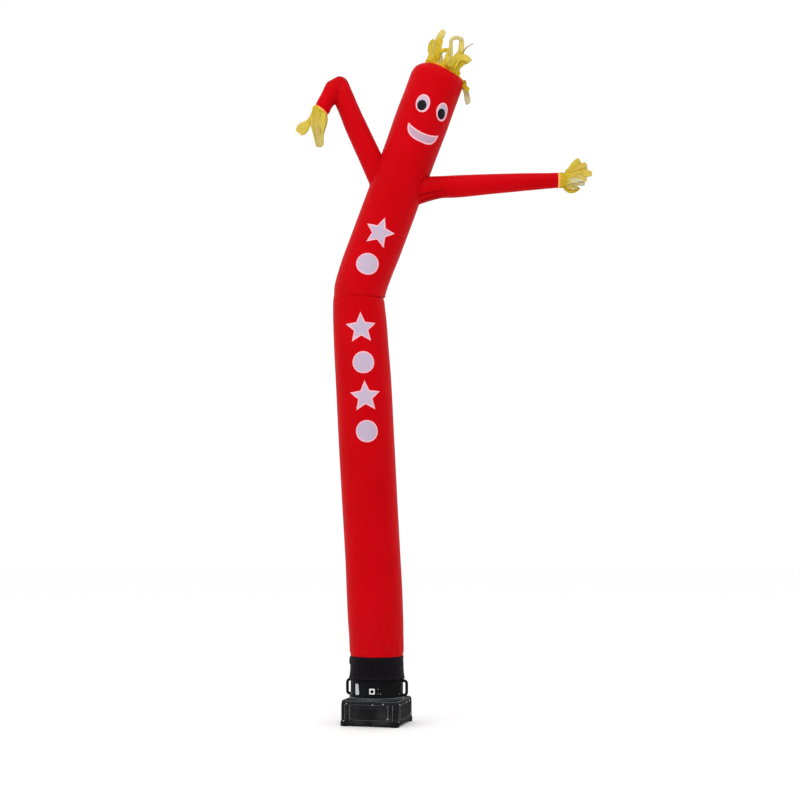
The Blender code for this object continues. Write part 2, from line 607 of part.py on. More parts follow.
def build_feet(parent):
    places = [(x, y) for y in (-1, 1) for x in (-1, 1)]
    for k, (x, y) in enumerate(places):
        bm = bmesh.new()
        bmesh.ops.create_cone(bm, cap_ends=True, segments=24, radius1=FOOT_R, radius2=FOOT_R, depth=FOOT_H)
        foot = new_object(f"foot_{k + 1}", bm, foot_rubber(), parent)
        foot.location = (x * FOOT_INSET, y * FOOT_INSET, FOOT_H / 2)


def build_handles(parent):
    """Carrying loops on the two sides of the ring, each a bent round bar."""
    low, high = HANDLE_LEVELS
    start = RING_D / 2 * math.cos(math.pi / TUBE_SIDES) + GAP
    out = start + HANDLE_OUT - HANDLE_BAR
    corners = ((out - HANDLE_BEND, low + HANDLE_BEND, -90), (out - HANDLE_BEND, high - HANDLE_BEND, 0))
    for name, side in (("handle_left", -1), ("handle_right", 1)):
        path = [Vector((start, 0, low))]
        for x, z, first in corners:
            for a in (math.radians(first + 90 * k / 4) for k in range(5)):
                path.append(Vector((x + HANDLE_BEND * math.cos(a), 0, z + HANDLE_BEND * math.sin(a))))
        path.append(Vector((start, 0, high)))
        frames = []
        for k, point in enumerate(path):
            before = path[max(k - 1, 0)]
            after = path[min(k + 1, len(path) - 1)]
            ahead = (after - before).normalized()
            turn = Matrix((Vector((0, 1, 0)).cross(ahead), Vector((0, 1, 0)), ahead)).transposed().to_4x4()
            frames.append(Matrix.Translation(point) @ turn @ Matrix.Diagonal((HANDLE_BAR, HANDLE_BAR, 1, 1)))
        handle = new_object(name, sweep(frames, 10), black_plastic(), parent)
        handle.rotation_euler.z = 0.0 if side > 0 else math.pi


def ring_place(turn, z):
    """Matrix on the outlet ring's outside, in the blower's own frame; turn counts from
    the dancer's front."""
    across = RING_D * math.cos(math.pi / TUBE_SIDES)
    return patch_place(Section(0.0, 0.0, z, 90.0, across, across), turn - math.degrees(BLOWER_YAW), 0.0)


def build_plates(parent):
    """Square plate with its knob, and a bare label plate, on the front of the ring."""
    place = ring_place(PLATE_TURN, PLATE_Z)
    width, height, proud = PLATE
    bm = bmesh.new()
    bmesh.ops.create_cube(bm, size=1.0, matrix=place @ Matrix.Diagonal((width, height, 2 * proud, 1)))
    plate = new_object("switch_plate", bm, white_plastic(), parent, smooth=False)
    trim = new_object("ring_space", solid(upright(RING), TUBE_SIDES, GAP), parent=parent)
    trim.rotation_euler.z = RING_TURN
    boolean(plate, trim, "DIFFERENCE")
    bm = bmesh.new()
    bmesh.ops.create_cone(bm, cap_ends=True, segments=20, radius1=KNOB_R, radius2=KNOB_R * 0.85,
                          depth=KNOB_DEEP, matrix=place
                          @ Matrix.Translation((0, 0, proud + GAP + KNOB_DEEP / 2)))
    new_object("switch_knob", bm, black_plastic(), parent)

    rows = upright((Level(LABEL_Z - 0.07, RING_D), Level(LABEL_Z + 0.07, RING_D)))
    label = new_object("blank_plate", hollow(rows, TUBE_SIDES, SEAT + LABEL_THICK, LABEL_THICK),
                       grey_plastic(), parent)
    label.rotation_euler.z = RING_TURN
    bm = bmesh.new()
    face = bm.faces.new([bm.verts.new((x, y, -CUT_REACH)) for x, y in LABEL])
    made = bmesh.ops.extrude_face_region(bm, geom=[face])["geom"]
    bmesh.ops.translate(bm, verts=[v for v in made if isinstance(v, bmesh.types.BMVert)],
                        vec=(0, 0, 2 * CUT_REACH))
    bmesh.ops.transform(bm, verts=bm.verts[:], matrix=ring_place(LABEL_TURN, LABEL_Z))
    boolean(label, new_object("blank_plate_outline", bm, parent=parent, smooth=False), "INTERSECT")


def build():
    for old in list(bpy.data.objects):
        bpy.data.objects.remove(old)
    dancer = bpy.data.objects.new("dancer", None)
    blower = bpy.data.objects.new("blower", None)
    for empty in (dancer, blower):
        bpy.context.scene.collection.objects.link(empty)
    blower.rotation_euler.z = BLOWER_YAW

    build_housing(blower)
    build_feet(blower)
    build_ring(blower)
    build_handles(blower)
    build_plates(blower)
    build_collar(dancer)

    body = build_body(dancer)
    body_space = new_object("body_space", solid(body_sections(), TUBE_SIDES, GAP))
    bent = sleeve_sections(BENT_SLEEVE, 90.0)
    straight = sleeve_sections(LONG_SLEEVE, -90.0)
    build_sleeve("arm_left", bent, body, body_space, dancer)
    build_sleeve("arm_right", straight, body, body_space, dancer)
    build_face(dancer)
    build_motifs(dancer)

    build_fringe("hair", body_sections()[-1], HAIR, HAIR_STRIP, dancer)
    build_fringe("hand_left", bent[-1], HAND_LEFT, HAND_STRIP, dancer)
    build_fringe("hand_right", straight[-1], HAND_RIGHT, HAND_STRIP, dancer)


build()
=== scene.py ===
"""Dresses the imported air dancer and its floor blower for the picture.

Metres, in the part's own frame: +Z up, the dancer faces -Y. Sections run in the order
in which the real thing is put together, from the blower up to the streamers.
"""
import json
import math
from collections import namedtuple

import bmesh
import bpy
import numpy as np
from mathutils import Matrix, Vector, noise
from mathutils.bvhtree import BVHTree

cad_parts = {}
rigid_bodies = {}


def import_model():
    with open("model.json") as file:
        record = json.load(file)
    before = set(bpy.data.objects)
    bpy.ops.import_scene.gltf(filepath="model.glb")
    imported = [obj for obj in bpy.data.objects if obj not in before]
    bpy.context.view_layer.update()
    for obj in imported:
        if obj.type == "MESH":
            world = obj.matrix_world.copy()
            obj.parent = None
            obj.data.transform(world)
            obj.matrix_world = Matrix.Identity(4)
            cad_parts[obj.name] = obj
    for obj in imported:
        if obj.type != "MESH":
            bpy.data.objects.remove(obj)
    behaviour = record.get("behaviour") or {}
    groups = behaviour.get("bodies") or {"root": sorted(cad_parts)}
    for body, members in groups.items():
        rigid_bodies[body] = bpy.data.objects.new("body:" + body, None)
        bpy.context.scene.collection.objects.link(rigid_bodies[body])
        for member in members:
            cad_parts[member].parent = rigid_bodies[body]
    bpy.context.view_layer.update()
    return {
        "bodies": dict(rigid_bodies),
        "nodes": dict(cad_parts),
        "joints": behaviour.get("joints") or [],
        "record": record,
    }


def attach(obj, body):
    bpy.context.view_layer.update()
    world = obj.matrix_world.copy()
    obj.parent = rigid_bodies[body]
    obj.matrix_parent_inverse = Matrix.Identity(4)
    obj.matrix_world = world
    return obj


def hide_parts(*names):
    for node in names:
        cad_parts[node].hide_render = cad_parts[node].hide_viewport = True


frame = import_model()

# ---- studio ------------------------------------------------------------------------
# A plain pale floor, an even pale surround and two large soft lamps, with the camera
# a good way off at a little under head height of a grown person, tipped slightly up.
CAMERA_PLACE = (0.2, -12.3, 1.62)
CAMERA_TILT = math.radians(5.5)
CAMERA_LENS = 63.0               # on a 36 mm sensor
FLOOR_SIDE = 120.0
PALE, LESS_PALE = (0.97, 0.97, 0.97), (0.955, 0.955, 0.955)

camera = bpy.data.objects.new("camera", bpy.data.cameras.new("camera"))
camera.data.sensor_width = 36.0
camera.data.lens = CAMERA_LENS
camera.location = CAMERA_PLACE
camera.rotation_euler = (math.pi / 2 + CAMERA_TILT, 0, 0)
bpy.context.scene.collection.objects.link(camera)
bpy.context.scene.camera = camera
bpy.context.scene.view_settings.view_transform = "Standard"

world = bpy.data.worlds.new("surround")
world.use_nodes = True
world.node_tree.nodes["Background"].inputs["Color"].default_value = (1.0, 1.0, 1.0, 1)
world.node_tree.nodes["Background"].inputs["Strength"].default_value = 1.03
bpy.context.scene.world = world

Lamp = namedtuple("Lamp", "name place aim side power")
LAMPS = (
    Lamp("key_lamp", (-9.0, -7.0, 6.5), (0.1, 0, 3.4), 3.5, 200),
    Lamp("top_lamp", (0.6, -3.8, 9.6), (0.1, 0, 0.3), 2.6, 110),
)
for lamp in LAMPS:
    light = bpy.data.lights.new(lamp.name, "AREA")
    light.size = lamp.side
    light.energy = lamp.power
    holder = bpy.data.objects.new(lamp.name, light)
    holder.location = lamp.place
    aim = Vector(lamp.aim) - Vector(lamp.place)
    holder.rotation_euler = aim.to_track_quat("-Z", "Y").to_euler()
    bpy.context.scene.collection.objects.link(holder)


class Finish:
    """A material being made: its shader's constants and the nodes that feed the rest."""

    def __init__(self, name, **constants):
        self.material = bpy.data.materials.new(name)
        self.material.use_nodes = True
        self.tree = self.material.node_tree
        self.shader = self.tree.nodes["Principled BSDF"]
        for socket, value in constants.items():
            self.shader.inputs[socket.replace("_", " ")].default_value = value
        self.place = self.add("ShaderNodeTexCoord").outputs["Object"]

    def add(self, kind, feeds=None, **settings):
        """A node of the kind; feeds gives each socket a value or the socket that feeds it."""
        made = self.tree.nodes.new(kind)
        for key, value in settings.items():
            setattr(made, key, value)
        for socket, value in (feeds or {}).items():
            if isinstance(value, bpy.types.NodeSocket):
                self.tree.links.new(value, made.inputs[socket])
            else:
                made.inputs[socket].default_value = value
        return made

    def feed(self, **sources):
        for socket, source in sources.items():
            self.tree.links.new(source, self.shader.inputs[socket.replace("_", " ")])

    def noise(self, scale, detail=2.0, distortion=0.0, place=None):
        return self.add("ShaderNodeTexNoise", {
            "Vector": self.place if place is None else place, "Scale": scale, "Detail": detail,
            "Distortion": distortion}).outputs["Fac"]

    def drawn_out(self, scale, rotation=(0.0, 0.0, 0.0)):
        """The place stretched by a scale for each axis, for a grain with a direction."""
        return self.add("ShaderNodeMapping", {"Vector": self.place, "Scale": scale,
                                              "Rotation": rotation}).outputs["Vector"]

    def height(self):
        return self.add("ShaderNodeSeparateXYZ", {"Vector": self.place}).outputs["Z"]

    def mix(self, share, first, second):
        """Colour between two others, by share."""
        first, second = (tone if isinstance(tone, bpy.types.NodeSocket) else (*tone, 1)
                         for tone in (first, second))
        return self.add("ShaderNodeMix", {"Factor": share, 6: first, 7: second},
                        data_type="RGBA").outputs[2]

    def span(self, value, low, high, first=0.0, last=1.0):
        """value carried from the range low to high on to first to last, and held there."""
        return self.add("ShaderNodeMapRange", {"Value": value, "From Min": low, "From Max": high,
                                               "To Min": first, "To Max": last}).outputs["Result"]

    def calc(self, operation, first, second=0.0):
        return self.add("ShaderNodeMath", {0: first, 1: second}, operation=operation).outputs[0]

    def shape_by(self, height, distance, strength):
        """Let height shape the surface, by distance metres."""
        bump = self.add("ShaderNodeBump", {"Height": height, "Distance": distance,
                                           "Strength": strength})
        self.feed(Normal=bump.outputs["Normal"])


def face_outwards(bm):
    bmesh.ops.recalc_face_normals(bm, faces=bm.faces[:])


def shade(mesh, sharp=None):
    """Smooth shading, but for edges sharper than sharp degrees."""
    mesh.shade_smooth()
    if sharp:
        mesh.set_sharp_from_angle(angle=math.radians(sharp))


def smooth_object(name, bm, finishes, sharp=None):
    """Object with the form's mesh; this uses the form up."""
    mesh = bpy.data.meshes.new(name)
    bm.to_mesh(mesh)
    bm.free()
    for finish in finishes:
        mesh.materials.append(finish.material)
    shade(mesh, sharp)
    made = bpy.data.objects.new(name, mesh)
    bpy.context.scene.collection.objects.link(made)
    return made


bm = bmesh.new()
bmesh.ops.create_grid(bm, x_segments=1, y_segments=1, size=FLOOR_SIDE / 2)
paint = Finish("floor_paint", Roughness=0.75)
paint.feed(Base_Color=paint.mix(paint.noise(6.0, 4.0), PALE, LESS_PALE))
floor = smooth_object("floor", bm, [paint])

# ---- blower housing ----------------------------------------------------------------
# A low square housing of black blow-moulded plastic, turned a little on the ground.
# Its upright corners are posts set off by grooves, each side has a shallow panel with
# round corners, and louvres are cut in the front and the back one.
BLOWER_TURN = Matrix.Rotation(math.radians(-15), 4, "Z")
SIDE, CORNER = 0.510, 0.055
BASE_Z, TOP_Z = 0.014, 0.218
TOP_ROUND, BASE_ROUND = 0.022, 0.008
PANEL = (0.335, 0.118, 0.0035)       # width, height, depth
PANEL_Z, PANEL_CORNER = 0.118, 0.034
SLOT = (0.230, 0.0065, 0.012)        # length, height, depth
SLOT_PITCH, SLOTS, SLOT_LOW, SLOT_SHIFT = 0.0165, 5, 0.073, -0.030
POST_GROOVE = 0.0065                 # radius
POST_AT = (0.182, 0.200)             # grooves' distances from the face's middle
PLINTH_SIDE = 0.330
BORE = 0.443
WELL_FLOOR = 0.045
SCREW_R = 0.0052
HOUSING_SHARP = 32                   # degrees
ALONG_Y, ALONG_Z = 1, 2
NEAR = 1e-4                          # two heights this close count as one


def block(bm, size, middle):
    """Box of the size about the middle; returns its vertices."""
    return bmesh.ops.create_cube(bm, size=1.0, matrix=Matrix.Translation(middle)
                                 @ Matrix.Diagonal((*size, 1)))["verts"]


def cylinder(bm, radius, length, segments, place):
    bmesh.ops.create_cone(bm, cap_ends=True, segments=segments, radius1=radius, radius2=radius,
                          depth=length, matrix=place)


def edges_along(verts, axis):
    """Edges at the vertices whose two ends differ along the axis."""
    return [e for e in {e for v in verts for e in v.link_edges}
            if abs(e.verts[0].co[axis] - e.verts[1].co[axis]) > NEAR]


def edges_at(bm, z):
    """Edges that lie level at the height z."""
    return [e for e in bm.edges if all(abs(v.co.z - z) < NEAR for v in e.verts)]


def round_off(bm, edges, radius, segments):
    bmesh.ops.bevel(bm, geom=edges, affect="EDGES", offset=radius, segments=segments,
                    profile=0.5, material=-1)


def carve(target, cutter, operation="DIFFERENCE"):
    """Cut the target with the cutter's form, or join it on."""
    tool = target.modifiers.new("carve", "BOOLEAN")
    tool.operation, tool.solver, tool.object = operation, "EXACT", cutter
    settled = bpy.context.evaluated_depsgraph_get()
    settled.update()
    shaped = bpy.data.meshes.new_from_object(target.evaluated_get(settled))
    target.modifiers.remove(tool)
    target.data = shaped
    bpy.data.objects.remove(cutter)


def four_turns():
    return [Matrix.Rotation(math.radians(90 * k), 4, "Z") for k in range(4)]


def upright_block(side, corner, low, high, segments):
    bm = bmesh.new()
    verts = block(bm, (side, side, high - low), (0, 0, (low + high) / 2))
    round_off(bm, edges_along(verts, ALONG_Z), corner, segments)
    return bm


BLACK, FAINT_BLACK = (0.0052, 0.0053, 0.0057), (0.0098, 0.0100, 0.0107)
SCUFFED, DUSTY = (0.16, 0.165, 0.17), (0.075, 0.068, 0.060)


def moulded_black(name, roughness=0.42, dust_top=0.16, paler=1.0, gloss=0.012):
    """Black moulded plastic: fine grain, faint swirls, pale scuffs and dust low down."""
    made = Finish(name, Specular_IOR_Level=gloss)
    swirl = made.noise(9.0, 5.0, 0.6)
    streaks = made.noise(1.0, 4.0, place=made.drawn_out((40.0, 40.0, 260.0), (0.4, 0.7, 0.2)))
    dust = made.calc("MULTIPLY", made.span(made.height(), dust_top, 0.0, 0.0, 0.35),
                     made.span(swirl, 0.42, 0.66))
    colour = made.mix(made.span(swirl, 0.3, 0.7), *([paler * part for part in tone]
                                                    for tone in (BLACK, FAINT_BLACK)))
    colour = made.mix(made.span(streaks, 0.66, 0.74, 0.0, 0.14), colour, SCUFFED)
    worn = made.span(swirl, 0.25, 0.75, roughness - 0.09, roughness + 0.10)
    made.feed(Base_Color=made.mix(dust, colour, DUSTY),
              Roughness=made.calc("ADD", worn, made.calc("MULTIPLY", dust, 0.3)))
    made.shape_by(made.noise(850.0, 3.0), 0.00035, 0.5)
    return made


housing_black = moulded_black("housing_plastic", paler=2.1, gloss=0.003)

bm = upright_block(SIDE, CORNER, BASE_Z, TOP_Z, 10)
round_off(bm, edges_at(bm, TOP_Z), TOP_ROUND, 6)
round_off(bm, edges_at(bm, BASE_Z), BASE_ROUND, 3)
housing = smooth_object("housing", bm, [housing_black])
plinth = upright_block(PLINTH_SIDE, CORNER, 0.0, BASE_Z * 2, 8)
carve(housing, smooth_object("plinth_form", plinth, []), "UNION")

bm = bmesh.new()
width, height, depth = PANEL
for _ in range(4):
    verts = block(bm, (width, 2 * depth, height), (0, -SIDE / 2, PANEL_Z))
    round_off(bm, edges_along(verts, ALONG_Y), PANEL_CORNER, 6)
    bmesh.ops.rotate(bm, verts=bm.verts[:], matrix=Matrix.Rotation(math.radians(90), 3, "Z"))
carve(housing, smooth_object("panel_form", bm, []))

bm = bmesh.new()
length, height, depth = SLOT
for _ in range(2):
    for k in range(SLOTS):
        verts = block(bm, (length, 2 * depth, height),
                      (SLOT_SHIFT, -SIDE / 2, SLOT_LOW + k * SLOT_PITCH))
        round_off(bm, edges_along(verts, ALONG_Y), height * 0.45, 3)
    bmesh.ops.rotate(bm, verts=bm.verts[:], matrix=Matrix.Rotation(math.pi, 3, "Z"))
carve(housing, smooth_object("slot_form", bm, []))

bm = bmesh.new()
for turn in four_turns():
    for at in POST_AT:
        for side in (-1, 1):
            cylinder(bm, POST_GROOVE, TOP_Z, 12, turn @ Matrix.Translation(
                (side * at, -SIDE / 2 - POST_GROOVE * 0.3, TOP_Z / 2)))
carve(housing, smooth_object("groove_form", bm, []))

bm = bmesh.new()
cylinder(bm, BORE / 2, TOP_Z, 96, Matrix.Translation((0, 0, WELL_FLOOR + TOP_Z / 2)))
carve(housing, smooth_object("well_form", bm, []))

housing.data.transform(BLOWER_TURN)
shade(housing.data, HOUSING_SHARP)
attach(housing, "root")
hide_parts("blower_housing")

# Zinc-plated pan-head screws with a round recess, five on every side: one by each corner
# of its panel and one under the outlet.
SCREW_SPOTS = ((-0.196, 0.190), (0.168, 0.072), (-0.220, 0.046), (0.128, 0.192), (0.034, 0.187))
zinc = Finish("zinc_screw", Base_Color=(0.62, 0.62, 0.63, 1), Metallic=1.0)
tarnish = zinc.noise(420.0, 3.0)
zinc.feed(Roughness=zinc.span(tarnish, 0.3, 0.7, 0.24, 0.50),
          Base_Color=zinc.mix(zinc.span(tarnish, 0.45, 0.8), (0.66, 0.66, 0.67),
                              (0.36, 0.34, 0.31)))


def screw(bm, place, radius=SCREW_R):
    """Pan head with a recess, drawn with its seat at the origin and facing +Z."""
    verts = bmesh.ops.create_cone(bm, cap_ends=True, segments=20, radius1=radius,
                                  radius2=radius * 0.86, depth=radius * 0.55,
                                  matrix=Matrix.Translation((0, 0, radius * 0.275)))["verts"]
    top = [f for f in {f for v in verts for f in v.link_faces} if f.normal.z > 0.9]
    bmesh.ops.inset_region(bm, faces=top, thickness=radius * 0.28, depth=radius * 0.10)
    ring = bmesh.ops.inset_region(bm, faces=top, thickness=radius * 0.24, depth=0.0)["faces"]
    sunk = list({v for f in top for v in f.verts})
    bmesh.ops.translate(bm, verts=sunk, vec=(0, 0, -radius * 0.22))
    grown = {v for f in ring + top for v in f.verts} | set(verts)
    for vert in list(grown):
        for face in vert.link_faces:
            grown.update(face.verts)
    bmesh.ops.transform(bm, matrix=place, verts=list(grown))


FACING = Matrix.Rotation(math.radians(90), 4, "X")     # +Z turned to face -Y
bm = bmesh.new()
for turn in four_turns():
    for x, z in SCREW_SPOTS:
        screw(bm, BLOWER_TURN @ turn @ Matrix.Translation((x, -SIDE / 2 - 0.0002, z)) @ FACING)
housing_screws = smooth_object("housing_screws", bm, [zinc], sharp=35)
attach(housing_screws, "root")

# ---- corner feet -------------------------------------------------------------------
# Four round rubber buffers let into the corners of the housing, each with two grip
# grooves round it. They are 80 mm across and 42 mm high.
FOOT_R, FOOT_H = 0.040, 0.042
FOOT_INSET = SIDE / 2 - FOOT_R + 0.004
FOOT_PLACES = [BLOWER_TURN @ Matrix.Translation((x * FOOT_INSET, y * FOOT_INSET, 0))
               for x in (-1, 1) for y in (-1, 1)]
SEAT_ROOM, SEAT_DEEP = 0.0006, 0.10
rubber = Finish("foot_rubber", Specular_IOR_Level=0.12)
chalky = rubber.noise(60.0, 5.0)
rubber.feed(Roughness=rubber.span(chalky, 0.3, 0.7, 0.72, 0.92),
            Base_Color=rubber.mix(rubber.span(chalky, 0.45, 0.75), (0.004, 0.004, 0.004),
                                  (0.018, 0.017, 0.016)))
rubber.shape_by(rubber.noise(1400.0), 0.0004, 0.6)


def lathe(bm, profile, steps, place=Matrix()):
    """Turn a profile of (radius, height) points once round the upright axis."""
    verts = [bm.verts.new((radius, 0, height)) for radius, height in profile]
    edges = [bm.edges.new(pair) for pair in zip(verts, verts[1:])]
    made = bmesh.ops.spin(bm, geom=verts + edges, cent=(0, 0, 0), axis=(0, 0, 1), angle=math.tau,
                          steps=steps, use_merge=True)
    whole = set(verts)
    front = list(verts)
    while front:
        near = [e.other_vert(v) for v in front for e in v.link_edges]
        front = [v for v in set(near) if v not in whole]
        whole.update(front)
    bmesh.ops.remove_doubles(bm, verts=[v for v in whole if v.co.xy.length < 1e-6], dist=1e-6)
    alive = [v for v in whole if v.is_valid]
    bmesh.ops.recalc_face_normals(bm, faces=list({f for v in alive for f in v.link_faces}))
    bmesh.ops.transform(bm, matrix=place, verts=alive)


FOOT_PROFILE = [(FOOT_R - inset, z) for inset, z in (
    (FOOT_R, 0.0), (0.004, 0.0), (0.001, 0.0015), (0, 0.005), (0, 0.013), (0.0025, 0.0145),
    (0.0025, 0.0175), (0, 0.019), (0, 0.026), (0.0025, 0.0275), (0.0025, 0.0305), (0, 0.032),
    (0, FOOT_H - 0.003), (0.002, FOOT_H), (FOOT_R, FOOT_H))]
bm = bmesh.new()
for place in FOOT_PLACES:
    lathe(bm, FOOT_PROFILE, 48, place)
feet = smooth_object("corner_feet", bm, [rubber], sharp=40)
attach(feet, "root")
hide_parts("foot_1", "foot_2", "foot_3", "foot_4")

# The feet's seats in the housing, with a little room round each foot.
bm = bmesh.new()
for place in FOOT_PLACES:
    cylinder(bm, FOOT_R + SEAT_ROOM, SEAT_DEEP, 48,
             place @ Matrix.Translation((0, 0, FOOT_H + SEAT_ROOM - SEAT_DEEP / 2)))
carve(housing, smooth_object("seat_form", bm, []))
shade(housing.data, HOUSING_SHARP)

# ---- outlet ring -------------------------------------------------------------------
# The blower's round outlet: a black plastic collar with a screwed flange at its foot,
# two stiffening beads, and a rounded lip under the dancer's cloth collar.
RING_R, RING_TOP = 0.2275, 0.4800
FLANGE_R, FLANGE_LOW, FLANGE_HIGH = 0.236, 0.2183, 0.2290
RING_BEADS, BEAD_PROUD = (0.2395, 0.3745), 0.0022
UP = Vector((0, 0, 1))
ring_black = moulded_black("ring_plastic", roughness=0.34, dust_top=0.0)
profile = [(BORE / 2, FLANGE_LOW), (FLANGE_R - 0.001, FLANGE_LOW), (FLANGE_R, FLANGE_LOW + 0.001),
           (FLANGE_R, FLANGE_HIGH - 0.0015), (FLANGE_R - 0.0015, FLANGE_HIGH),
           (RING_R + 0.002, FLANGE_HIGH), (RING_R, FLANGE_HIGH + 0.0025)]
for z in RING_BEADS:
    profile += [(RING_R + BEAD_PROUD * math.sin(math.pi * k / 6), z + 0.0012 * k) for k in range(7)]
profile += [(RING_R, RING_TOP - 0.002), (RING_R - 0.002, RING_TOP), (BORE / 2 + 0.002, RING_TOP),
            (BORE / 2, RING_TOP - 0.002), (BORE / 2, FLANGE_LOW)]
bm = bmesh.new()
lathe(bm, profile, 144, BLOWER_TURN)
bmesh.ops.remove_doubles(bm, verts=bm.verts[:], dist=1e-6)
face_outwards(bm)
ring = smooth_object("outlet_ring", bm, [ring_black], sharp=38)
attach(ring, "root")
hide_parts("blower_ring")


def on_round(turn, z, radius):
    """Place on an upright round wall: X across to the viewer's right, Y up, Z outwards.
    turn counts in degrees from the dancer's front."""
    a = math.radians(turn)
    out = Vector((math.sin(a), -math.cos(a), 0))
    side = Vector((math.cos(a), math.sin(a), 0))
    turned = Matrix((side, UP, out)).transposed().to_4x4()
    return Matrix.Translation(Vector((0, 0, z)) + out * radius) @ turned


# Screws that hold the ring, round its foot and by the switch.
RING_SCREW_R = 0.0036
RING_SCREWS = [(3.5, 0.3140), (3.5, 0.2740), (9.0, 0.2740)]
RING_SCREWS += [(turn, 0.2640) for turn in (-70.0, 60.0, 120.0, 180.0, 240.0)]
bm = bmesh.new()
for turn, z in RING_SCREWS:
    screw(bm, on_round(turn, z, RING_R - 0.0003), RING_SCREW_R)
ring_screws = smooth_object("ring_screws", bm, [zinc], sharp=35)
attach(ring_screws, "root")

# ---- carrying handles --------------------------------------------------------------
# A loop of 25 mm round plastic bar on each side of the ring, its two ends let into
# moulded pads.
BAR_R = 0.0125
HANDLE_LOW, HANDLE_HIGH = 0.247, 0.370
HANDLE_OUT, HANDLE_BEND = 0.052, 0.026
HANDLE_START = RING_R * math.cos(math.pi / 36) + 0.0003
handle_black = moulded_black("handle_plastic", roughness=0.38, dust_top=0.0)


def draw_tube(bm, frames, sides, capped=True):
    """Carry a unit circle through the frames; returns its rings of vertices."""
    ring = bmesh.ops.create_circle(bm, segments=sides, radius=1.0, matrix=frames[0])["verts"]
    edges = list({e for v in ring for e in v.link_edges})
    rims, rings = [edges], [list(ring)]
    for before, after in zip(frames, frames[1:]):
        made = bmesh.ops.extrude_edge_only(bm, edges=edges)["geom"]
        ring = [item for item in made if isinstance(item, bmesh.types.BMVert)]
        fresh = set(ring)
        edges = [item for item in made
                 if isinstance(item, bmesh.types.BMEdge) and fresh.issuperset(item.verts)]
        bmesh.ops.transform(bm, matrix=after @ before.inverted(), verts=ring)
        rings.append(list(ring))
    rims.append(edges)
    if capped:
        for rim in rims:
            bmesh.ops.contextual_create(bm, geom=rim)
    return rings


def frame_at(point, ahead, wide, deep, side):
    """Frame for draw_tube: wide along side, deep across it, running ahead."""
    ahead = ahead.normalized()
    side = (side - ahead * side.dot(ahead)).normalized()
    turned = Matrix((side, ahead.cross(side), ahead)).transposed().to_4x4()
    return Matrix.Translation(point) @ turned @ Matrix.Diagonal((wide, deep, 1, 1))


def ahead_at(path, k):
    """Way the path runs at its point k."""
    return path[min(k + 1, len(path) - 1)] - path[max(k - 1, 0)]


def path_frames(path, wide, deep, side):
    return [frame_at(point, ahead_at(path, k), wide, deep, side) for k, point in enumerate(path)]


reach = HANDLE_START + HANDLE_OUT - BAR_R
path = [Vector((HANDLE_START, 0, HANDLE_LOW)), Vector((HANDLE_START + 0.012, 0, HANDLE_LOW))]
for middle, first in ((HANDLE_LOW + HANDLE_BEND, -90), (HANDLE_HIGH - HANDLE_BEND, 0)):
    for k in range(9):
        a = math.radians(first + 90 * k / 8)
        path.append(Vector((reach - HANDLE_BEND + HANDLE_BEND * math.cos(a), 0,
                            middle + HANDLE_BEND * math.sin(a))))
path += [Vector((HANDLE_START + 0.012, 0, HANDLE_HIGH)), Vector((HANDLE_START, 0, HANDLE_HIGH))]
PAD_PROFILE = ((0.0, 0.0), (0.0175, 0.0), (0.0185, 0.0012), (0.0175, 0.0060), (0.0135, 0.0085),
               (0.0, 0.0085))
for name, node, half_turn in (("left_carrying_handle", "handle_left", math.pi),
                              ("right_carrying_handle", "handle_right", 0.0)):
    bm = bmesh.new()
    draw_tube(bm, path_frames(path, BAR_R, BAR_R, Vector((0, 1, 0))), 24)
    face_outwards(bm)
    for z in (HANDLE_LOW, HANDLE_HIGH):
        lathe(bm, PAD_PROFILE, 32, Matrix.Translation((HANDLE_START - 0.0006, 0, z))
              @ Matrix.Rotation(math.radians(90), 4, "Y"))
    bm.transform(BLOWER_TURN @ Matrix.Rotation(half_turn, 4, "Z"))
    handle = smooth_object(name, bm, [handle_black], sharp=40)
    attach(handle, "root")
    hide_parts(node)

# ---- moulded beads -----------------------------------------------------------------
# Beads 4 to 9 mm wide stand up from the housing round each side's panel, along its top
# edge and beside the post grooves, and two run round the flange. Their pale base colour
# is a painted highlight along with some wear; they are also shinier than the faces.
PANEL_BEAD, EDGE_BEAD, FLANGE_BEAD = 0.0018, 0.0026, 0.0044      # radii
PANEL_EDGE = 0.0045
worn = Finish("bead_plastic_painted_highlight_and_wear", Specular_IOR_Level=0.45)
wear_and_highlight_mask = worn.noise(55.0, 5.0)
# The paler of the two colours is painted highlight, partly wear, spread about by noise.
worn.feed(Roughness=worn.span(wear_and_highlight_mask, 0.3, 0.7, 0.30, 0.48),
          Base_Color=worn.mix(worn.span(wear_and_highlight_mask, 0.35, 0.70), (0.030, 0.031, 0.033),
                              (0.125, 0.127, 0.132)))
worn.shape_by(worn.noise(900.0), 0.0003, 0.4)


def rounded(width, height, corner, steps=8):
    """Points round a rectangle with round corners, about the middle."""
    points = []
    for k, (x, y) in enumerate(((1, 1), (-1, 1), (-1, -1), (1, -1))):
        for j in range(steps + 1):
            a = math.radians(90 * k + 90 * j / steps)
            points.append((x * (width / 2 - corner) + corner * math.cos(a),
                           y * (height / 2 - corner) + corner * math.sin(a)))
    return points


def bead(bm, points, out, radius, closed=True):
    """Flattened round bead along the points, wide along out."""
    line = points + points[:2] if closed else points
    frames = path_frames(line, radius, radius * 0.7, out)
    if closed:
        frames = frames[1:-1] + frames[1:2]
    draw_tube(bm, frames, 10, capped=not closed)


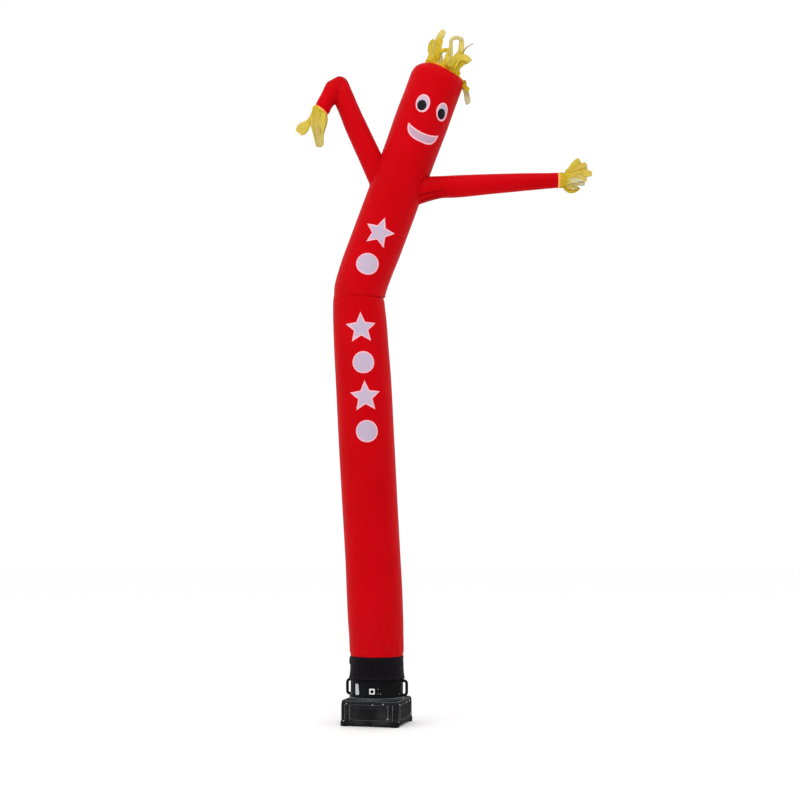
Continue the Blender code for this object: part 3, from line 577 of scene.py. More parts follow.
bm = bmesh.new()
width, height, depth = PANEL
for turn in four_turns():
    seat = BLOWER_TURN @ turn
    panel = rounded(width + 2 * PANEL_EDGE, height + 2 * PANEL_EDGE, PANEL_CORNER + PANEL_EDGE)
    bead(bm, [seat @ Vector((x, -SIDE / 2, PANEL_Z + z)) for x, z in panel],
         seat.to_3x3() @ Vector((0, 1, 0)), PANEL_BEAD)
    for side in (-1, 1):
        for at in (POST_AT[0] - 2 * POST_GROOVE, POST_AT[1] + 1.5 * POST_GROOVE):
            bead(bm, [seat @ Vector((side * at, -SIDE / 2, 0.050 + 0.015 * k)) for k in range(10)],
                 seat.to_3x3() @ Vector((1, 0, 0)), EDGE_BEAD, closed=False)
edge_in = TOP_ROUND * (1 - math.cos(math.pi / 4))
top_edge = rounded(SIDE - 2 * edge_in, SIDE - 2 * edge_in, CORNER - edge_in)
bead(bm, [BLOWER_TURN @ Vector((x, y, TOP_Z - edge_in)) for x, y in top_edge], UP, EDGE_BEAD)
for z in (FLANGE_LOW + 0.0010, FLANGE_HIGH + 0.0030):
    bead(bm, [BLOWER_TURN @ Vector((FLANGE_R * math.cos(a), FLANGE_R * math.sin(a), z))
              for a in (math.tau * k / 96 for k in range(96))], UP, FLANGE_BEAD)
bmesh.ops.remove_doubles(bm, verts=bm.verts[:], dist=1e-5)
face_outwards(bm)
beads = smooth_object("moulded_beads", bm, [worn])
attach(beads, "root")

# ---- switch and label plate --------------------------------------------------------
# A square white switch plate with rounded corners, held by two screws, with a black
# ribbed knob that points upwards, and a bare pale-grey label plate riveted beside it.
PLATE, PLATE_TURN, PLATE_Z = (0.047, 0.047, 0.004), -9.5, 0.294
KNOB_R, KNOB_DEEP, KNOB_RIBS = 0.0145, 0.010, 20
white = Finish("switch_white", Specular_IOR_Level=0.5, Roughness=0.36)
white.feed(Base_Color=white.mix(white.span(white.noise(75.0, 6.0), 0.52, 0.78), (0.82, 0.82, 0.83),
                                (0.56, 0.54, 0.50)))
white.shape_by(white.noise(2200.0), 0.0002, 0.4)
switch_at = on_round(PLATE_TURN, PLATE_Z, RING_R)
bm = bmesh.new()
verts = block(bm, (PLATE[0], PLATE[1], PLATE[2] + 0.0015), (0, 0, PLATE[2] / 2 - 0.00075))
round_off(bm, edges_along(verts, ALONG_Z), 0.0050, 5)
round_off(bm, edges_at(bm, PLATE[2]), 0.0012, 3)
bm.transform(switch_at)
plate = smooth_object("switch_face", bm, [white], sharp=35)
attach(plate, "root")
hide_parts("switch_plate")

bm = bmesh.new()
for x in (-1, 1):
    screw(bm, switch_at @ Matrix.Translation((0.0165 * x, 0.0165 * x, PLATE[2] - 0.0001)), 0.0026)
plate_screws = smooth_object("switch_screws", bm, [zinc], sharp=35)
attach(plate_screws, "root")

bm = bmesh.new()
knob_ring = bmesh.ops.create_circle(bm, segments=KNOB_RIBS * 4, radius=KNOB_R)["verts"]
for k, vert in enumerate(sorted(knob_ring, key=lambda v: math.atan2(v.co.y, v.co.x))):
    vert.co *= 1.0 - 0.05 * (k % 4 in (0, 1))
edges = list({e for v in knob_ring for e in v.link_edges})
bmesh.ops.contextual_create(bm, geom=edges)
for rise, share in ((KNOB_DEEP * 0.82, 0.93), (KNOB_DEEP * 0.14, 0.88), (0.0, 0.55),
                    (-0.0012, 0.90)):
    top = max(bm.faces, key=lambda f: (f.calc_center_median().z, f.calc_area()))
    top = bmesh.ops.extrude_discrete_faces(bm, faces=[top])["faces"][0]
    bmesh.ops.translate(bm, verts=top.verts[:], vec=(0, 0, rise))
    bmesh.ops.scale(bm, verts=top.verts[:], vec=(share, share, 1))
block(bm, (0.0016, KNOB_R * 0.62, 0.0012), (0, KNOB_R * 0.50, KNOB_DEEP * 0.96))
face_outwards(bm)
bm.transform(switch_at @ Matrix.Translation((0, 0, PLATE[2] + 0.0003)))
knob = smooth_object("switch_knob_ribbed", bm, [moulded_black("knob_plastic", 0.32, 0.0)], sharp=30)
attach(knob, "root")
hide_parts("switch_knob")

LABEL = ((-0.024, 0.046), (0.010, 0.046), (0.022, -0.030), (0.020, -0.046), (-0.024, -0.046))
LABEL_TURN, LABEL_Z, LABEL_THICK, LABEL_CORNER = -46.0, 0.306, 0.0015, 0.0035
grey = Finish("label_grey", Metallic=0.25, Specular_IOR_Level=0.5)
brushed = grey.noise(1.0, 3.0, place=grey.drawn_out((60.0, 60.0, 2600.0)))
grey.feed(Roughness=grey.span(grey.noise(40.0, 5.0), 0.35, 0.7, 0.30, 0.52),
          Base_Color=grey.mix(grey.span(brushed, 0.3, 0.7), (0.40, 0.40, 0.43), (0.56, 0.56, 0.59)))
bm = bmesh.new()
bm.faces.new([bm.verts.new((x, y, 0)) for x, y in LABEL])
bmesh.ops.bevel(bm, geom=bm.verts[:], affect="VERTICES", offset=LABEL_CORNER, segments=4,
                profile=0.5, material=-1)
for k in range(-9, 10):
    bmesh.ops.bisect_plane(bm, geom=bm.verts[:] + bm.edges[:] + bm.faces[:],
                           plane_co=(k * 0.0025, 0, 0), plane_no=(1, 0, 0))
face_outwards(bm)
if sum(f.normal.z for f in bm.faces) < 0:
    bmesh.ops.reverse_faces(bm, faces=bm.faces[:])
bmesh.ops.solidify(bm, geom=bm.faces[:], thickness=-LABEL_THICK)
low = min(v.co.z for v in bm.verts)
for vert in bm.verts:
    a = vert.co.x / RING_R
    radius = RING_R + 0.0004 + vert.co.z - low
    vert.co = Vector((radius * math.sin(a), vert.co.y, radius * math.cos(a) - RING_R))
face_outwards(bm)
bm.transform(on_round(LABEL_TURN, LABEL_Z, RING_R))
label = smooth_object("bare_label", bm, [grey], sharp=35)
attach(label, "root")
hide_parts("blank_plate")

bm = bmesh.new()
for x, z in ((-0.019, 0.041), (0.007, 0.041), (-0.019, -0.041), (0.0155, -0.041)):
    lathe(bm, ((0.0026, 0.0), (0.0024, 0.0008), (0.0014, 0.0014), (0.0, 0.0016)), 16,
          on_round(LABEL_TURN + math.degrees(x / RING_R), LABEL_Z + z,
                   RING_R + LABEL_THICK + 0.0003))
rivets = smooth_object("label_rivets", bm, [zinc], sharp=60)
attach(rivets, "root")

# ---- cloth collar ------------------------------------------------------------------
# A sleeve of black nylon at the dancer's foot, drawn over the outlet ring by a cord run
# in its lower hem. It is 1.50 m round at its foot and 0.193 m high, a little gathered. Two
# rows of lock stitch run round its lower hem and one round its upper one.
Level = namedtuple("Level", "z diameter")
COLLAR = (Level(0.385, 0.4770), Level(0.440, 0.4646), Level(0.540, 0.4575), Level(0.578, 0.4570))
COLLAR_SIDES, COLLAR_ROWS = 216, 44
HEM_ROWS, HEM_STEPS = (0.4015, 0.4045, 0.5605), 1480
CLOTH = 0.0008
Section = namedtuple("Section", "x y z heading width depth")


def frame_of(section):
    """Frame that carries a unit circle to the section."""
    heading = math.radians(section.heading)
    across = Vector((-math.sin(heading), 0, math.cos(heading)))
    ahead = Vector((math.cos(heading), 0, math.sin(heading)))
    turned = Matrix((across, Vector((0, -1, 0)), ahead)).transposed().to_4x4()
    size = Matrix.Diagonal((section.width / 2, section.depth / 2, 1, 1))
    return Matrix.Translation((section.x, section.y, section.z)) @ turned @ size


def ease(t):
    t = min(max(t, 0.0), 1.0)
    return t * t * (3 - 2 * t)


def hump(t, middle, width):
    """1 where t is at the middle, and next to nothing two widths away."""
    return math.exp(-((t - middle) / width) ** 2)


def smooth_rows(rows, pitch):
    """Sections at about the pitch on a smooth curve through the given ones."""
    run = [0.0]
    for a, b in zip(rows, rows[1:]):
        run.append(run[-1] + max(math.dist(a[:3], b[:3]), 1e-4))

    def slope(k, i):
        low, high = max(k - 1, 0), min(k + 1, len(rows) - 1)
        return (rows[high][i] - rows[low][i]) / (run[high] - run[low])

    dense = []
    for k, (a, b) in enumerate(zip(rows, rows[1:])):
        gap = run[k + 1] - run[k]
        count = max(1, round(gap / pitch))
        for step in range(count):
            t = step / count
            h = (2 * t**3 - 3 * t**2 + 1, t**3 - 2 * t**2 + t, 3 * t**2 - 2 * t**3, t**3 - t**2)
            dense.append(Section(*(h[0] * a[i] + h[1] * gap * slope(k, i) + h[2] * b[i]
                                   + h[3] * gap * slope(k + 1, i) for i in range(6))))
    dense.append(rows[-1])
    return dense


def unroll(bm, rings, girth):
    """UV map in metres: how far round the tube, then how far along it."""
    layer = bm.loops.layers.uv.verify()
    spot, along = {}, 0.0
    for k, ring in enumerate(rings):
        if k:
            along += sum((a.co - b.co).length for a, b in zip(ring, rings[k - 1])) / len(ring)
        for j, vert in enumerate(ring):
            spot[vert] = (j / len(ring), along)
    for face in bm.faces:
        shares = [spot[loop.vert][0] for loop in face.loops]
        wraps = max(shares) - min(shares) > 0.5
        for loop, share in zip(face.loops, shares):
            turns = share + 1.0 if wraps and share < 0.5 else share
            loop[layer].uv = (turns * girth, spot[loop.vert][1])


def lay_flat(bm, spot):
    """UV map in metres: spot gives each corner's place on the cloth."""
    layer = bm.loops.layers.uv.verify()
    for face in bm.faces:
        for loop in face.loops:
            loop[layer].uv = spot(loop.vert.co)


def in_order(rings):
    """Each ring's vertices in one order round, starting from the same column."""
    ordered = []
    ring = list(rings[0])
    chain, seen = [ring[0]], {ring[0]}
    inside = set(ring)
    while len(chain) < len(ring):
        step = next(e.other_vert(chain[-1]) for e in chain[-1].link_edges
                    if e.other_vert(chain[-1]) in inside and e.other_vert(chain[-1]) not in seen)
        chain.append(step)
        seen.add(step)
    ordered.append(chain)
    for ring in rings[1:]:
        inside = set(ring)
        chain = [next(e.other_vert(v) for e in v.link_edges if e.other_vert(v) in inside)
                 for v in chain]
        ordered.append(chain)
    return ordered


def give_thickness(piece, thickness, offset=-1.0):
    """Turn a one-layer cloth into a closed one of the thickness. An offset of -1 puts it
    behind the drawn layer and 0 on both sides of it."""
    step = piece.modifiers.new("cloth thickness", "SOLIDIFY")
    step.thickness = thickness
    step.offset = offset
    step.use_even_offset = False


def weave(made, pitch):
    """Place on the cloth in metres, and the height of its plain weave, which has a
    thicker ripstop thread at every pitch."""
    flat = made.add("ShaderNodeUVMap").outputs["UV"]
    parts = made.add("ShaderNodeSeparateXYZ", {"Vector": flat}).outputs
    threads = [made.calc("COSINE", made.calc("MULTIPLY", parts[axis], math.tau / pitch))
               for axis in ("X", "Y")]
    return flat, made.calc("MAXIMUM", *(made.span(each, 0.86, 1.0) for each in threads))


def lit_through(made, tone, glow):
    """Let the share glow of the light come through the cloth from its other side."""
    through = made.add("ShaderNodeBsdfTranslucent", {"Color": tone})
    both = made.add("ShaderNodeMixShader", {"Fac": glow, 1: made.shader.outputs["BSDF"],
                                            2: through.outputs["BSDF"]})
    surface = made.tree.nodes["Material Output"].inputs["Surface"]
    made.tree.links.new(both.outputs["Shader"], surface)


CLOTH_GRIME = (0.10, 0.045, 0.035)


def nylon(name, colour, shade, pitch=0.0065, sheen=0.04, glow=0.0, roughness=0.48, grime=0.0,
          gloss=0.08):
    """Coated ripstop nylon: colour turns to shade in broad patches and in its threads,
    and grime gathers low down."""
    made = Finish(name, Sheen_Weight=sheen, Sheen_Roughness=0.4, Specular_IOR_Level=gloss)
    flat, threads = weave(made, pitch)
    crumple = made.noise(22.0, 5.0, 0.4)
    tone = made.mix(made.span(made.noise(2.6, 4.0), 0.34, 0.66), colour, shade)
    tone = made.mix(made.calc("MULTIPLY", threads, 0.30), tone, shade)
    tone = made.mix(made.span(made.noise(900.0, place=flat), 0.35, 0.8, 0.0, 0.25), tone, shade)
    if grime:
        dirt = made.calc("MULTIPLY", made.span(made.height(), 1.2, 0.55, 0.0, grime),
                         made.span(crumple, 0.45, 0.7))
        tone = made.mix(dirt, tone, CLOTH_GRIME)
    made.feed(Base_Color=tone,
              Roughness=made.span(crumple, 0.3, 0.7, roughness - 0.06, roughness + 0.08))
    made.shape_by(made.calc("ADD", made.calc("MULTIPLY", threads, 0.12), crumple), 0.0016, 0.55)
    if glow:
        lit_through(made, tone, glow)
    return made


def thread_of(name, first, second, roughness=0.6, scale=2400.0):
    """Sewing thread whose strands differ a little in tone."""
    made = Finish(name, Roughness=roughness, Specular_IOR_Level=0.1)
    made.feed(Base_Color=made.mix(made.noise(scale), first, second))
    return made


black_cloth = nylon("black_nylon_cloth", (0.0030, 0.0026, 0.0040), (0.0065, 0.0050, 0.0085),
                    sheen=0.0, roughness=0.62, gloss=0.05)
rows = smooth_rows([Section(0, 0, l.z, 90.0, l.diameter, l.diameter) for l in COLLAR],
                   (COLLAR[-1].z - COLLAR[0].z) / COLLAR_ROWS)
bm = bmesh.new()
rings = in_order(draw_tube(bm, [frame_of(s) for s in rows], COLLAR_SIDES, capped=False))
for ring in rings:
    for vert in ring:
        a = math.atan2(vert.co.y, vert.co.x)
        low = (vert.co.z - COLLAR[0].z) / (COLLAR[-1].z - COLLAR[0].z)
        gather = 0.5 + 0.5 * noise.noise(Vector((math.cos(a) * 9, math.sin(a) * 9, low * 0.6)))
        # Gathers by both hems, a slow swell, the cords in the hems and the creases by them.
        by_hems = ease(1 - low * 1.8) + 0.5 * ease((low - 0.72) * 3)
        fold = 0.0042 * (gather ** 2) * by_hems * math.sin(a * 27 + 2 * gather)
        sag = 0.0016 * math.sin(math.pi * low)
        sag *= noise.noise(Vector((math.cos(a) * 3, math.sin(a) * 3, low * 4)))
        cord = 0.0022 * (hump(low, 0.045, 0.035) + 0.7 * hump(low, 0.97, 0.03))
        crease = -0.0012 * (hump(low, 0.10, 0.012) + hump(low, 0.91, 0.012))
        lift = 0.0012 + abs(fold) + sag + cord + crease
        vert.co += Vector((math.cos(a), math.sin(a), 0)) * lift
unroll(bm, rings, math.pi * COLLAR[0].diameter)
face_outwards(bm)
collar = smooth_object("cloth_collar", bm, [black_cloth])
give_thickness(collar, CLOTH)
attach(collar, "root")
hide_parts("collar")

# The hems' rows are lock stitch in dark grey thread, 4 mm a stitch.
black_thread = thread_of("dark_thread", (0.016, 0.014, 0.019), (0.042, 0.038, 0.048), 0.75, 2600.0)


def tree_of(piece):
    """Search tree of a piece as it is shown."""
    settled = bpy.context.evaluated_depsgraph_get()
    settled.update()
    shown = piece.evaluated_get(settled)
    mesh = shown.to_mesh()
    found = BVHTree.FromPolygons([v.co.copy() for v in mesh.vertices],
                                 [tuple(p.vertices) for p in mesh.polygons])
    shown.to_mesh_clear()
    return found


STITCH_R = 0.0005
stitch_form = bmesh.new()
way = [Vector((x, 0, z * STITCH_R))
       for x, z in ((-0.0020, -1), (-0.0010, 1), (0.0010, 1), (0.0020, -1))]
draw_tube(stitch_form, path_frames(way, STITCH_R, STITCH_R * 1.5, UP), 5)
face_outwards(stitch_form)
bmesh.ops.scale(stitch_form, verts=stitch_form.verts[:], vec=(250, 1, 1))


def strew(name, form, places, finish):
    """One piece made of the small form repeated at each place."""
    points = np.array([v.co[:] for v in form.verts])
    faces = np.array([[v.index for v in f.verts] for f in form.faces], dtype=object)
    stand = [np.array(place) for place in places]
    verts = np.concatenate([points @ m[:3, :3].T + m[:3, 3] for m in stand])
    rims = [[k * len(points) + i for i in face] for k in range(len(stand)) for face in faces]
    mesh = bpy.data.meshes.new(name)
    mesh.from_pydata(verts.tolist(), [], rims)
    mesh.materials.append(finish.material)
    mesh.shade_smooth()
    made = bpy.data.objects.new(name, mesh)
    bpy.context.scene.collection.objects.link(made)
    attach(made, "root")
    return made


def stitch_at(start, end, out):
    """Place for one stitch of thread from start to end."""
    ahead = end - start
    side = out.cross(ahead).normalized()
    turned = Matrix((ahead, side, ahead.cross(side).normalized())).transposed().to_4x4()
    return Matrix.Translation((start + end) / 2) @ turned


def stitch_line(points, outs, length, gap, sway=0.0):
    """Places of the stitches along a line of close points on the cloth; sway makes
    them zigzag."""
    places, travelled, start, swing = [], 0.0, None, 1
    for k in range(1, len(points)):
        travelled += (points[k] - points[k - 1]).length
        side = outs[k].cross((points[k] - points[k - 1]).normalized()) * sway * swing
        if start is None and travelled >= gap:
            start, travelled = points[k] - side, 0.0
        elif start is not None and travelled >= length:
            places.append(stitch_at(start, points[k] + side, outs[k]))
            start, travelled, swing = (points[k] + side if sway else None), 0.0, -swing
    return places


collar_skin = tree_of(collar)
places = []
for z in HEM_ROWS:
    points, outs = [], []
    for k in range(HEM_STEPS + 1):
        a = math.tau * k / HEM_STEPS
        out = Vector((math.cos(a), math.sin(a), 0))
        hit = collar_skin.ray_cast(Vector((0, 0, z)) + out * 0.30, -out)
        points.append(hit[0])
        outs.append(out)
    places += stitch_line(points, outs, 0.0032, 0.0009)
collar_stitches = strew("collar_stitching", stitch_form, places, black_thread)

# The tab that covers the end of the drawcord: a pad of the same cloth, 50 by 66 mm,
# sewn down with a crossed box of stitches.
TAB_TURN, TAB_Z, TAB_SIZE = -86.0, 0.538, (0.050, 0.066)
TAB_PROUD = 0.0085


def dotted(corners, steps_in):
    """Points along the straight lines from corner to corner of a drawing; steps_in gives
    how many for a line's length."""
    points = []
    for (ax, ay), (bx, by) in zip(corners, corners[1:]):
        steps = steps_in(math.hypot(bx - ax, by - ay))
        points += [(ax + (bx - ax) * k / steps, ay + (by - ay) * k / steps) for k in range(steps)]
    return points


def sit_on(skin, bm, place, lift, reach=0.08):
    """Lay a flat piece, drawn in the place's own X and Y, on the skin below it. Its
    height above the drawing becomes its height above the skin, plus lift."""
    out = place.to_3x3() @ UP
    for vert in bm.verts:
        start = place @ Vector((vert.co.x, vert.co.y, 0)) + out * reach
        hit = skin.ray_cast(start, -out)
        vert.co = hit[0] + out * (lift + vert.co.z)


bm = bmesh.new()
bmesh.ops.create_grid(bm, x_segments=20, y_segments=26, size=0.5)
bmesh.ops.scale(bm, verts=bm.verts[:], vec=(*TAB_SIZE, 1))
edges = [e for e in bm.edges if e.is_boundary]
for vert in bm.verts:
    far = max(abs(vert.co.x) / TAB_SIZE[0], abs(vert.co.y) / TAB_SIZE[1]) * 2
    vert.co.z = TAB_PROUD * (1 - ease((far - 0.55) / 0.45) * 0.72) - 0.0015 * hump(far, 0.78, 0.05)
    vert.co.z += 0.0008 * noise.noise(Vector((vert.co.x * 70, vert.co.y * 50, 3)))
skirt = bmesh.ops.extrude_edge_only(bm, edges=edges)["geom"]
for vert in [item for item in skirt if isinstance(item, bmesh.types.BMVert)]:
    vert.co.z = 0.0002
face_outwards(bm)
lay_flat(bm, lambda co: co.xy)
tab_place = on_round(TAB_TURN, TAB_Z, RING_R)
sit_on(collar_skin, bm, tab_place, 0.0003)
face_outwards(bm)
tab = smooth_object("drawcord_tab", bm, [black_cloth], sharp=50)
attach(tab, "root")
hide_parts("collar_tab")

tab_skin = tree_of(tab)
out = tab_place.to_3x3() @ UP
half_w, half_h = TAB_SIZE[0] * 0.39, TAB_SIZE[1] * 0.39
corners = [(x * half_w, y * half_h) for x, y in (
    (-1, -1), (1, -1), (1, 1), (-1, 1), (-1, -1), (1, 1), (1, -1), (-1, 1))]
points = [tab_skin.ray_cast(tab_place @ Vector((x, y, 0.05)), -out)[0]
          for x, y in dotted(corners, lambda length: int(length / 0.0005))]
places = stitch_line(points, [out] * len(points), 0.0030, 0.0008)
tab_stitches = strew("tab_stitching", stitch_form, places, black_thread)

# ---- body tube ---------------------------------------------------------------------
# One tube of bright red ripstop nylon, 1.51 m round and 5.35 m long, sewn up the back
# and kept up by the blower's air. It leans a little to the left as far as a kink at
# 3.7 m, where the upper body rolls over the lower one, then leans 20 degrees right.
# The table's rows are in millimetres and degrees.
Body = namedtuple("Body", "x z lean width")
BODY_D, KINK_LOW, KINK_HIGH = 0.482, 3.55, 4.05
BODY_LEAN, LOW_LEAN = 20.1, -3.1
BODY = [Body(x / 1000, z / 1000, lean, width / 1000) for x, z, lean, width in (
    (0, 542, 0.0, 450), (0, 582, 0.0, 450), (0, 602, 0.0, 463), (-1, 645, -1.5, 468),
    (-5, 760, LOW_LEAN, 474), (-11, 883, LOW_LEAN, 482), (-22, 1141, LOW_LEAN, 486),
    (-35, 1401, LOW_LEAN, 482), (-65, 1924, LOW_LEAN, 486), (-95, 2451, LOW_LEAN, 490),
    (-123, 2982, LOW_LEAN, 490), (-141, 3249, LOW_LEAN, 484), (-156, 3500, -2.5, 475),
    (-163, 3614, 0.0, 465), (-166, 3692, 2.5, 456), (-164, 3728, 4.5, 447),
    (-161, 3748, 5.5, 456), (-156, 3782, 8.0, 461), (-145, 3828, 11.0, 463),
    (-126, 3892, 15.0, 464), (-91, 3995, 18.0, 468), (-33, 4147, BODY_LEAN, 472),
    (67, 4420, BODY_LEAN, 474.5), (205, 4800, BODY_LEAN, 476), (314, 5097, BODY_LEAN, 478),
    (387, 5300, BODY_LEAN, 486), (474, 5539, BODY_LEAN, 482), (525, 5680, BODY_LEAN, 484),
)]
# The crown closes in to a short neck round the vent. Each row lies along the upper body's
# axis from the last row above and across it to the right, and leans more than it.
Crown = namedtuple("Crown", "along across lean width depth")
CROWN = [Crown(along, across, BODY_LEAN + more, width, depth)
         for along, across, more, width, depth in (
             (0.025, 0.0015, 1.2, 0.4775, 0.4775), (0.048, 0.0062, 2.7, 0.4650, 0.4600),
             (0.068, 0.0145, 4.4, 0.4443, 0.4300), (0.084, 0.0258, 6.2, 0.4179, 0.3920),
             (0.094, 0.0380, 7.7, 0.3895, 0.3500), (0.098, 0.0433, 8.2, 0.3764, 0.3180),
             (0.109, 0.0450, 8.2, 0.3764, 0.3120),)]
BODY_SIDES, BODY_PITCH, KINK_PITCH = 128, 0.026, 0.006
CREASE_Z = 3.728
NECK_Z = 5.741


def thinned(rows):
    """The rows left when those away from the kink and the crown are thinned out."""
    kept = rows[:1]
    for row in rows[1:-1]:
        close = KINK_LOW < row.z < KINK_HIGH or row.z > BODY[-1].z
        if math.dist(row[:3], kept[-1][:3]) > 0.9 * (KINK_PITCH if close else BODY_PITCH):
            kept.append(row)
    return kept + rows[-1:]


def body_rows():
    rows = []
    for b in BODY:
        depth = 2 * BODY_D - b.width if KINK_LOW < b.z < KINK_HIGH else b.width
        rows.append(Section(b.x, 0.0, b.z, 90 - b.lean, b.width, depth))
    lean = math.radians(BODY_LEAN)
    for c in CROWN:
        rows.append(Section(BODY[-1].x + c.along * math.sin(lean) + c.across * math.cos(lean), 0.0,
                            BODY[-1].z + c.along * math.cos(lean) - c.across * math.sin(lean),
                            90 - c.lean, c.width, c.depth))
    return rows


# A fold in the tight cloth is a short ridge or hollow. It lies at a turn round the body
# (degrees from the front to the viewer's right) and a height up it, runs across the
# tube over span degrees and slants by a rise in metres over that span.
Fold = namedtuple("Fold", "turn z span rise depth width")
FOLDS = (
    Fold(66, CREASE_Z - 0.012, 120, 0.036, -0.0185, 0.0070),    # deep notch on the inner side
    Fold(72, CREASE_Z + 0.012, 84, 0.050, 0.0042, 0.013),       # the cloth that rolls over it
    Fold(6, CREASE_Z - 0.038, 100, 0.004, -0.0068, 0.0075),     # it fades across the front
    Fold(8, CREASE_Z - 0.014, 110, 0.012, 0.0036, 0.018),
    Fold(-58, CREASE_Z + 0.012, 74, -0.052, -0.0056, 0.0060),
    Fold(44, CREASE_Z + 0.062, 54, 0.104, -0.0040, 0.009),
    Fold(40, CREASE_Z - 0.085, 54, -0.070, -0.0034, 0.009),
    Fold(24, CREASE_Z + 0.120, 44, 0.120, -0.0024, 0.012),
    Fold(-66, CREASE_Z + 0.172, 40, -0.014, -0.0046, 0.0058),   # short creases on the outer side
    Fold(-62, CREASE_Z + 0.188, 44, -0.012, 0.0024, 0.012),
    Fold(-52, CREASE_Z + 0.092, 36, 0.030, -0.0024, 0.008),
    Fold(-44, CREASE_Z - 0.088, 46, -0.036, -0.0022, 0.012),
    Fold(180, CREASE_Z + 0.040, 150, 0.012, -0.0080, 0.010),    # behind
    Fold(165, CREASE_Z + 0.110, 70, 0.060, -0.0040, 0.013),
    Fold(205, CREASE_Z - 0.070, 80, -0.060, -0.0036, 0.014),
    Fold(-30, 0.720, 50, 0.070, -0.0022, 0.018), Fold(24, 0.690, 46, -0.060, -0.0020, 0.016),
    Fold(150, 0.710, 50, 0.060, -0.0022, 0.018), Fold(-120, 0.700, 46, -0.050, -0.0020, 0.016),
)


def folded(turn, z):
    """How far the folds push the cloth out at a turn and a height."""
    total = 0.0
    for f in FOLDS:
        off = (turn - f.turn + 180) % 360 - 180
        if abs(off) < f.span / 2:
            fade = math.cos(math.pi * off / f.span) ** 0.8
            lies = (z - f.z - f.rise * off / f.span) / f.width
            if abs(lies) < 3:
                total += f.depth * fade * math.exp(-lies * lies)
    return total


def billow(vert, turn, row):
    """Displacement of the tight cloth along its outward normal."""
    p = vert.co
    wide = noise.noise(Vector((p.x * 1.6, p.y * 3.0, p.z * 1.1)))
    a = math.radians(turn)
    fine = noise.noise(Vector((math.sin(a) * 6, math.cos(a) * 6, p.z * 2.2 + 5)))
    out = 0.0018 * wide + 0.0007 * fine + folded(turn, row.z)
    # Small gathers where the cloth is tucked into the collar, and round the vent.
    foot = ease((0.86 - row.z) / 0.26) * ease((row.z - 0.586) / 0.03)
    out += 0.0026 * foot * math.sin(a * 31 + 3 * fine)
    crown = ease((row.z - 5.690) / 0.05) * ease((5.759 - row.z) / 0.02)
    return out + 0.0026 * crown * math.sin(a * 22 + 4 * wide)


RED, DEEP_RED = (0.605, 0.0004, 0.0045), (0.540, 0.0002, 0.0030)
red_cloth = nylon("red_nylon_cloth", RED, DEEP_RED, sheen=0.02, glow=0.16, roughness=0.46,
                  grime=0.12, gloss=0.03)
rows = thinned(smooth_rows(body_rows(), KINK_PITCH))
bm = bmesh.new()
rings = in_order(draw_tube(bm, [frame_of(s) for s in rows], BODY_SIDES, capped=False))
bm.normal_update()
face_outwards(bm)
shifts = []
for ring, row in zip(rings, rows):
    place = frame_of(row).inverted()
    for vert in ring:
        local = place @ vert.co
        turn = math.degrees(math.atan2(-local.x, local.y))
        shifts.append((vert, vert.normal * billow(vert, turn, row)))
for vert, shift in shifts:
    vert.co += shift
unroll(bm, rings, math.pi * BODY_D)
face_outwards(bm)
body = smooth_object("body_of_red_nylon", bm, [red_cloth])
give_thickness(body, CLOTH)
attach(body, "root")
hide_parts("body_tube")
body_skin = tree_of(body)

# The body's lapped seam runs up its back: a flat fell seam, 11 mm wide, with two rows of
# red lock stitch, 9 mm from one stitch to the next.
SEAM_TURN, SEAM_WIDE = 184.0, 0.011
REACH = 0.45                         # further than any skin is from its tube's middle
seam_red = nylon("seam_nylon", (0.50, 0.0010, 0.0045), (0.40, 0.0005, 0.0024), pitch=0.0030,
                 roughness=0.52)
red_thread = thread_of("red_thread", (0.42, 0.006, 0.012), (0.66, 0.03, 0.04))


def outward(section, turn):
    """Direction out of a tube at a turn round it."""
    a = math.radians(turn)
    frame = frame_of(section).to_3x3()
    across, deep = (frame.col[k].length for k in (0, 1))
    return (frame @ Vector((-math.sin(a) / across, math.cos(a) / deep, 0))).normalized()


def on_skin(skin, section, turn):
    """Point on the skin out from a section's middle at the turn, and the way it faces."""
    out = outward(section, turn)
    return skin.ray_cast(Vector(section[:3]) + out * REACH, -out, REACH)[:2]


def tape(bm, points, outs, wide, thick):
    """Flat strip with rounded edges laid along the points."""
    frames = []
    for k, (point, out) in enumerate(zip(points, outs)):
        ahead = ahead_at(points, k)
        frames.append(frame_at(point, ahead, wide / 2, thick / 2, out.cross(ahead)))
    draw_tube(bm, frames, 10)


found = [on_skin(body_skin, row, SEAM_TURN) for row in rows if row.z < NECK_Z + 0.012]
bm = bmesh.new()
tape(bm, [at + out * 0.0006 for at, out in found], [out for _, out in found], SEAM_WIDE, 0.0018)
face_outwards(bm)
lay_flat(bm, lambda co: co.xz)
seam = smooth_object("back_seam", bm, [seam_red])
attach(seam, "root")
seam_skin = tree_of(seam)

places = []
fine_rows = smooth_rows(body_rows(), 0.0020)
for side in (-1, 1):
    points, outs = [], []
    for row in fine_rows:
        if 0.60 < row.z < NECK_Z:
            turn = SEAM_TURN + side * math.degrees(SEAM_WIDE * 0.27 / (row.width / 2))
            point, out = on_skin(seam_skin, row, turn)
            if point is not None:
                points.append(point)
                outs.append(out)
    places += stitch_line(points, outs, 0.0060, 0.0030)
seam_stitches = strew("back_seam_stitching", stitch_form, places, red_thread)

